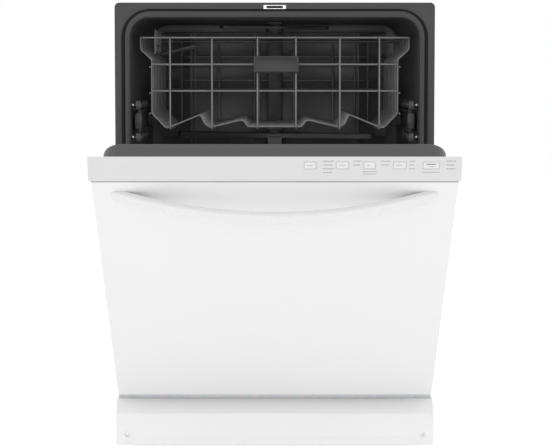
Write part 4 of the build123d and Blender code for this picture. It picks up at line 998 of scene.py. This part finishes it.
def rails_and_rollers():
    """The eight grooved rollers, their spindles with a locking pin each, and the rails' end caps."""
    studs = Shape()
    for z_node in ("lower", "upper"):
        for y_node in ("front", "rear"):
            node = f"rail_rollers_{y_node}_{z_node}"
            roller_pair(node, 9.3, 3.58, 256.0, 266.0)
            low, high = box_mm(node)
            y, z = (low.y + high.y) / 2, (low.z + high.z) / 2
            wall = OPEN_HALF - (OPEN_HALF - 265.0) * (y - FACE_Y) / 523.0
            spindle = [(7.2, 0), (7.2, 1.4), (6.0, 2.4), (3.5, 2.6)]
            spindle += [(r, wall - x) for r, x in ((3.5, 255.6), (5.2, 255.6), (5.2, 254.2), (3.8, 252.9),
                                                   (1.6, 252.4))]
            for s in (-1, 1):
                studs.lathe((s * (wall - 0.2), y, z), (-s, 0, 0), spindle, 1, 28)
                studs.lathe((s * (wall - 2.6), y - 1.5, z), (0, -1, 0.1),
                            [(2.4, 4.2), (2.4, 6.6), (1.6, 7.4), (0.3, 7.7)], 0, 16)
    studs.make("roller_spindles", [FINISH["bright_steel"], FINISH["rail_plastic"]], "chassis",
               ["roller_studs"], smooth=40)
    caps = Shape()
    for s in (-1, 1):
        x0, x1 = sorted((s * 255.0, s * 268.0))
        caps.box((x0, FACE_Y + 36.2, 606), (x1, FACE_Y + 41.6, 637))
    caps.make("rail_end_caps", [FINISH["rail_plastic"]], "slide_rails", bevel=1.5, segments=3)


def lower_rack():
    """Ribs, lengthwise wires, rim, side wires, three rows of tines and the wheels' brackets."""
    shape = Shape()
    floor, top, half = 248.0, 395.0, 246.0
    front, back = FACE_Y + 48, FACE_Y + 492
    for k in range(9):
        y = front + k * (back - front) / 8
        shape.tube(rounded([(-half, y, top), (-half, y, floor), (half, y, floor), (half, y, top)], 26), WIRE)
    for k in range(-4, 5):
        x, low = k * 48.0, floor - STEP
        shape.tube(rounded([(x, front - STEP, top + 1), (x, front - STEP, low),
                            (x, back + STEP, low), (x, back + STEP, top + 1)], 22), WIRE)
    shape.tube(rim(half + 1, front, back, top, 6), WIRE + 0.3, domed=False)
    for y in (front, back):
        shape.tube([(-half, y, 320), (half, y, 320)], WIRE)
    for s in (-1, 1):
        x = s * (half + STEP)
        shape.tube([(x, front, 320), (x, back, 320)], WIRE)
    foot = floor - WIRE
    for x in (-144.0, -48.0, 48.0):
        for k in range(2, 9):
            y = front + (k - 0.5) * (back - front) / 8
            tine = [(x, y - 7, foot + 0.4), (x, y - 1, foot + 0.6), (x, y + 12, floor + 90)]
            shape.tube(rounded(tine, 3), 1.7)
    shape.make("lower_rack_wires", [FINISH["rack_coating"]], "lower_rack", ["lower_rack"], smooth=60)
    carriers = Shape()
    for node in ("lower_rack_front_wheels", "lower_rack_rear_wheels"):
        roller_pair(node, 18.0, 4.08, 228.0, 235.0)
        low, high = box_mm(node)
        y, z = (low.y + high.y) / 2, (low.z + high.z) / 2
        for s in (-1, 1):
            x0, x1 = sorted((s * 236.2, s * 243.0))
            carriers.box((x0, y - 14, z - 8), (x1, y + 14, 247.0))
            carriers.lathe((s * 236.3, y, z), (-s, 0, 0),
                           [(4.0, 0), (4.0, 8.6), (6.0, 8.7), (5.6, 10.0), (2.0, 10.3)], sides=24)
    carriers.make("wheel_brackets", [FINISH["rail_plastic"]], "lower_rack", bevel=1.0)


def cutlery_basket():
    """Open lattice walls between solid corner posts, a slotted floor and a bowed handle."""
    low, high = box_mm("silverware_basket")
    top = 372.0
    shape = Shape()
    mid = (low.x + high.x) / 2
    cells = 4
    pitch = (high.y - low.y - 2.5) / cells

    def lattice(a, b):
        """A wall of slats between two plan points."""
        a, b = Vector((a[0], a[1], 0)), Vector((b[0], b[1], 0))
        run = b - a
        count = max(int(run.length / 11), 2)
        across = Vector((-run.y, run.x, 0)).normalized() * 1.25
        for k in range(count + 1):
            p = a + run * k / count
            along = run.normalized() * 1.3
            q = [p - along - across, p + along - across, p + along + across, p - along + across]
            shape.loops([[Vector((v.x, v.y, z)) for v in q] for z in (low.z, top)])
        for z in (low.z + 3, low.z + 42, low.z + 82, top - 3):
            q = [a - across, b - across, b + across, a + across]
            shape.loops([[Vector((v.x, v.y, zz)) for v in q] for zz in (z - 2.6, z + 2.6)])

    for x in (low.x + 1.3, mid, high.x - 1.3):
        lattice((x, low.y + 2), (x, high.y - 2))
    for k in range(cells + 1):
        y = low.y + 1.3 + k * pitch
        lattice((low.x + 2, y), (high.x - 2, y))
    count = 22
    for k in range(count):
        y = low.y + 4 + (high.y - low.y - 8) * k / (count - 1)
        shape.box((low.x + 1, y - 2.2, low.z), (high.x - 1, y + 2.2, low.z + 2.4))
    shape.make("cutlery_basket", [FINISH["basket_plastic"]], "silverware_basket",
               ["silverware_basket"], smooth=30)
    grip = Shape()
    y0, y1 = low.y + 126, high.y - 126
    route = rounded([(mid, y0, top - 6), (mid, y0, 407), (mid, y1, 407), (mid, y1, top - 6)], 14, 8)
    loops = []
    for a, p, b in zip([route[0]] + route, route, route[1:] + [route[-1]]):
        d = (b - a).normalized()
        out = Vector((1, 0, 0)).cross(d) * 3.0
        side = Vector((4.6, 0, 0))
        loops.append([p - side - out, p + side - out, p + side + out, p - side + out])
    grip.loops(loops)
    grip.make("cutlery_basket_grip", [FINISH["basket_plastic"]], "silverware_basket", bevel=1.0)


set_stage()
door_panel()
console()
keys()
console_print()
handle()
liner()
dispenser()
door_edges()
tub()
blanket()
toe_panel()
springs()
hardware()
arms()
upper_rack()
cup_shelf("front_cup_shelf", True)
cup_shelf("rear_cup_shelf", False)
rails_and_rollers()
lower_rack()
cutlery_basket()
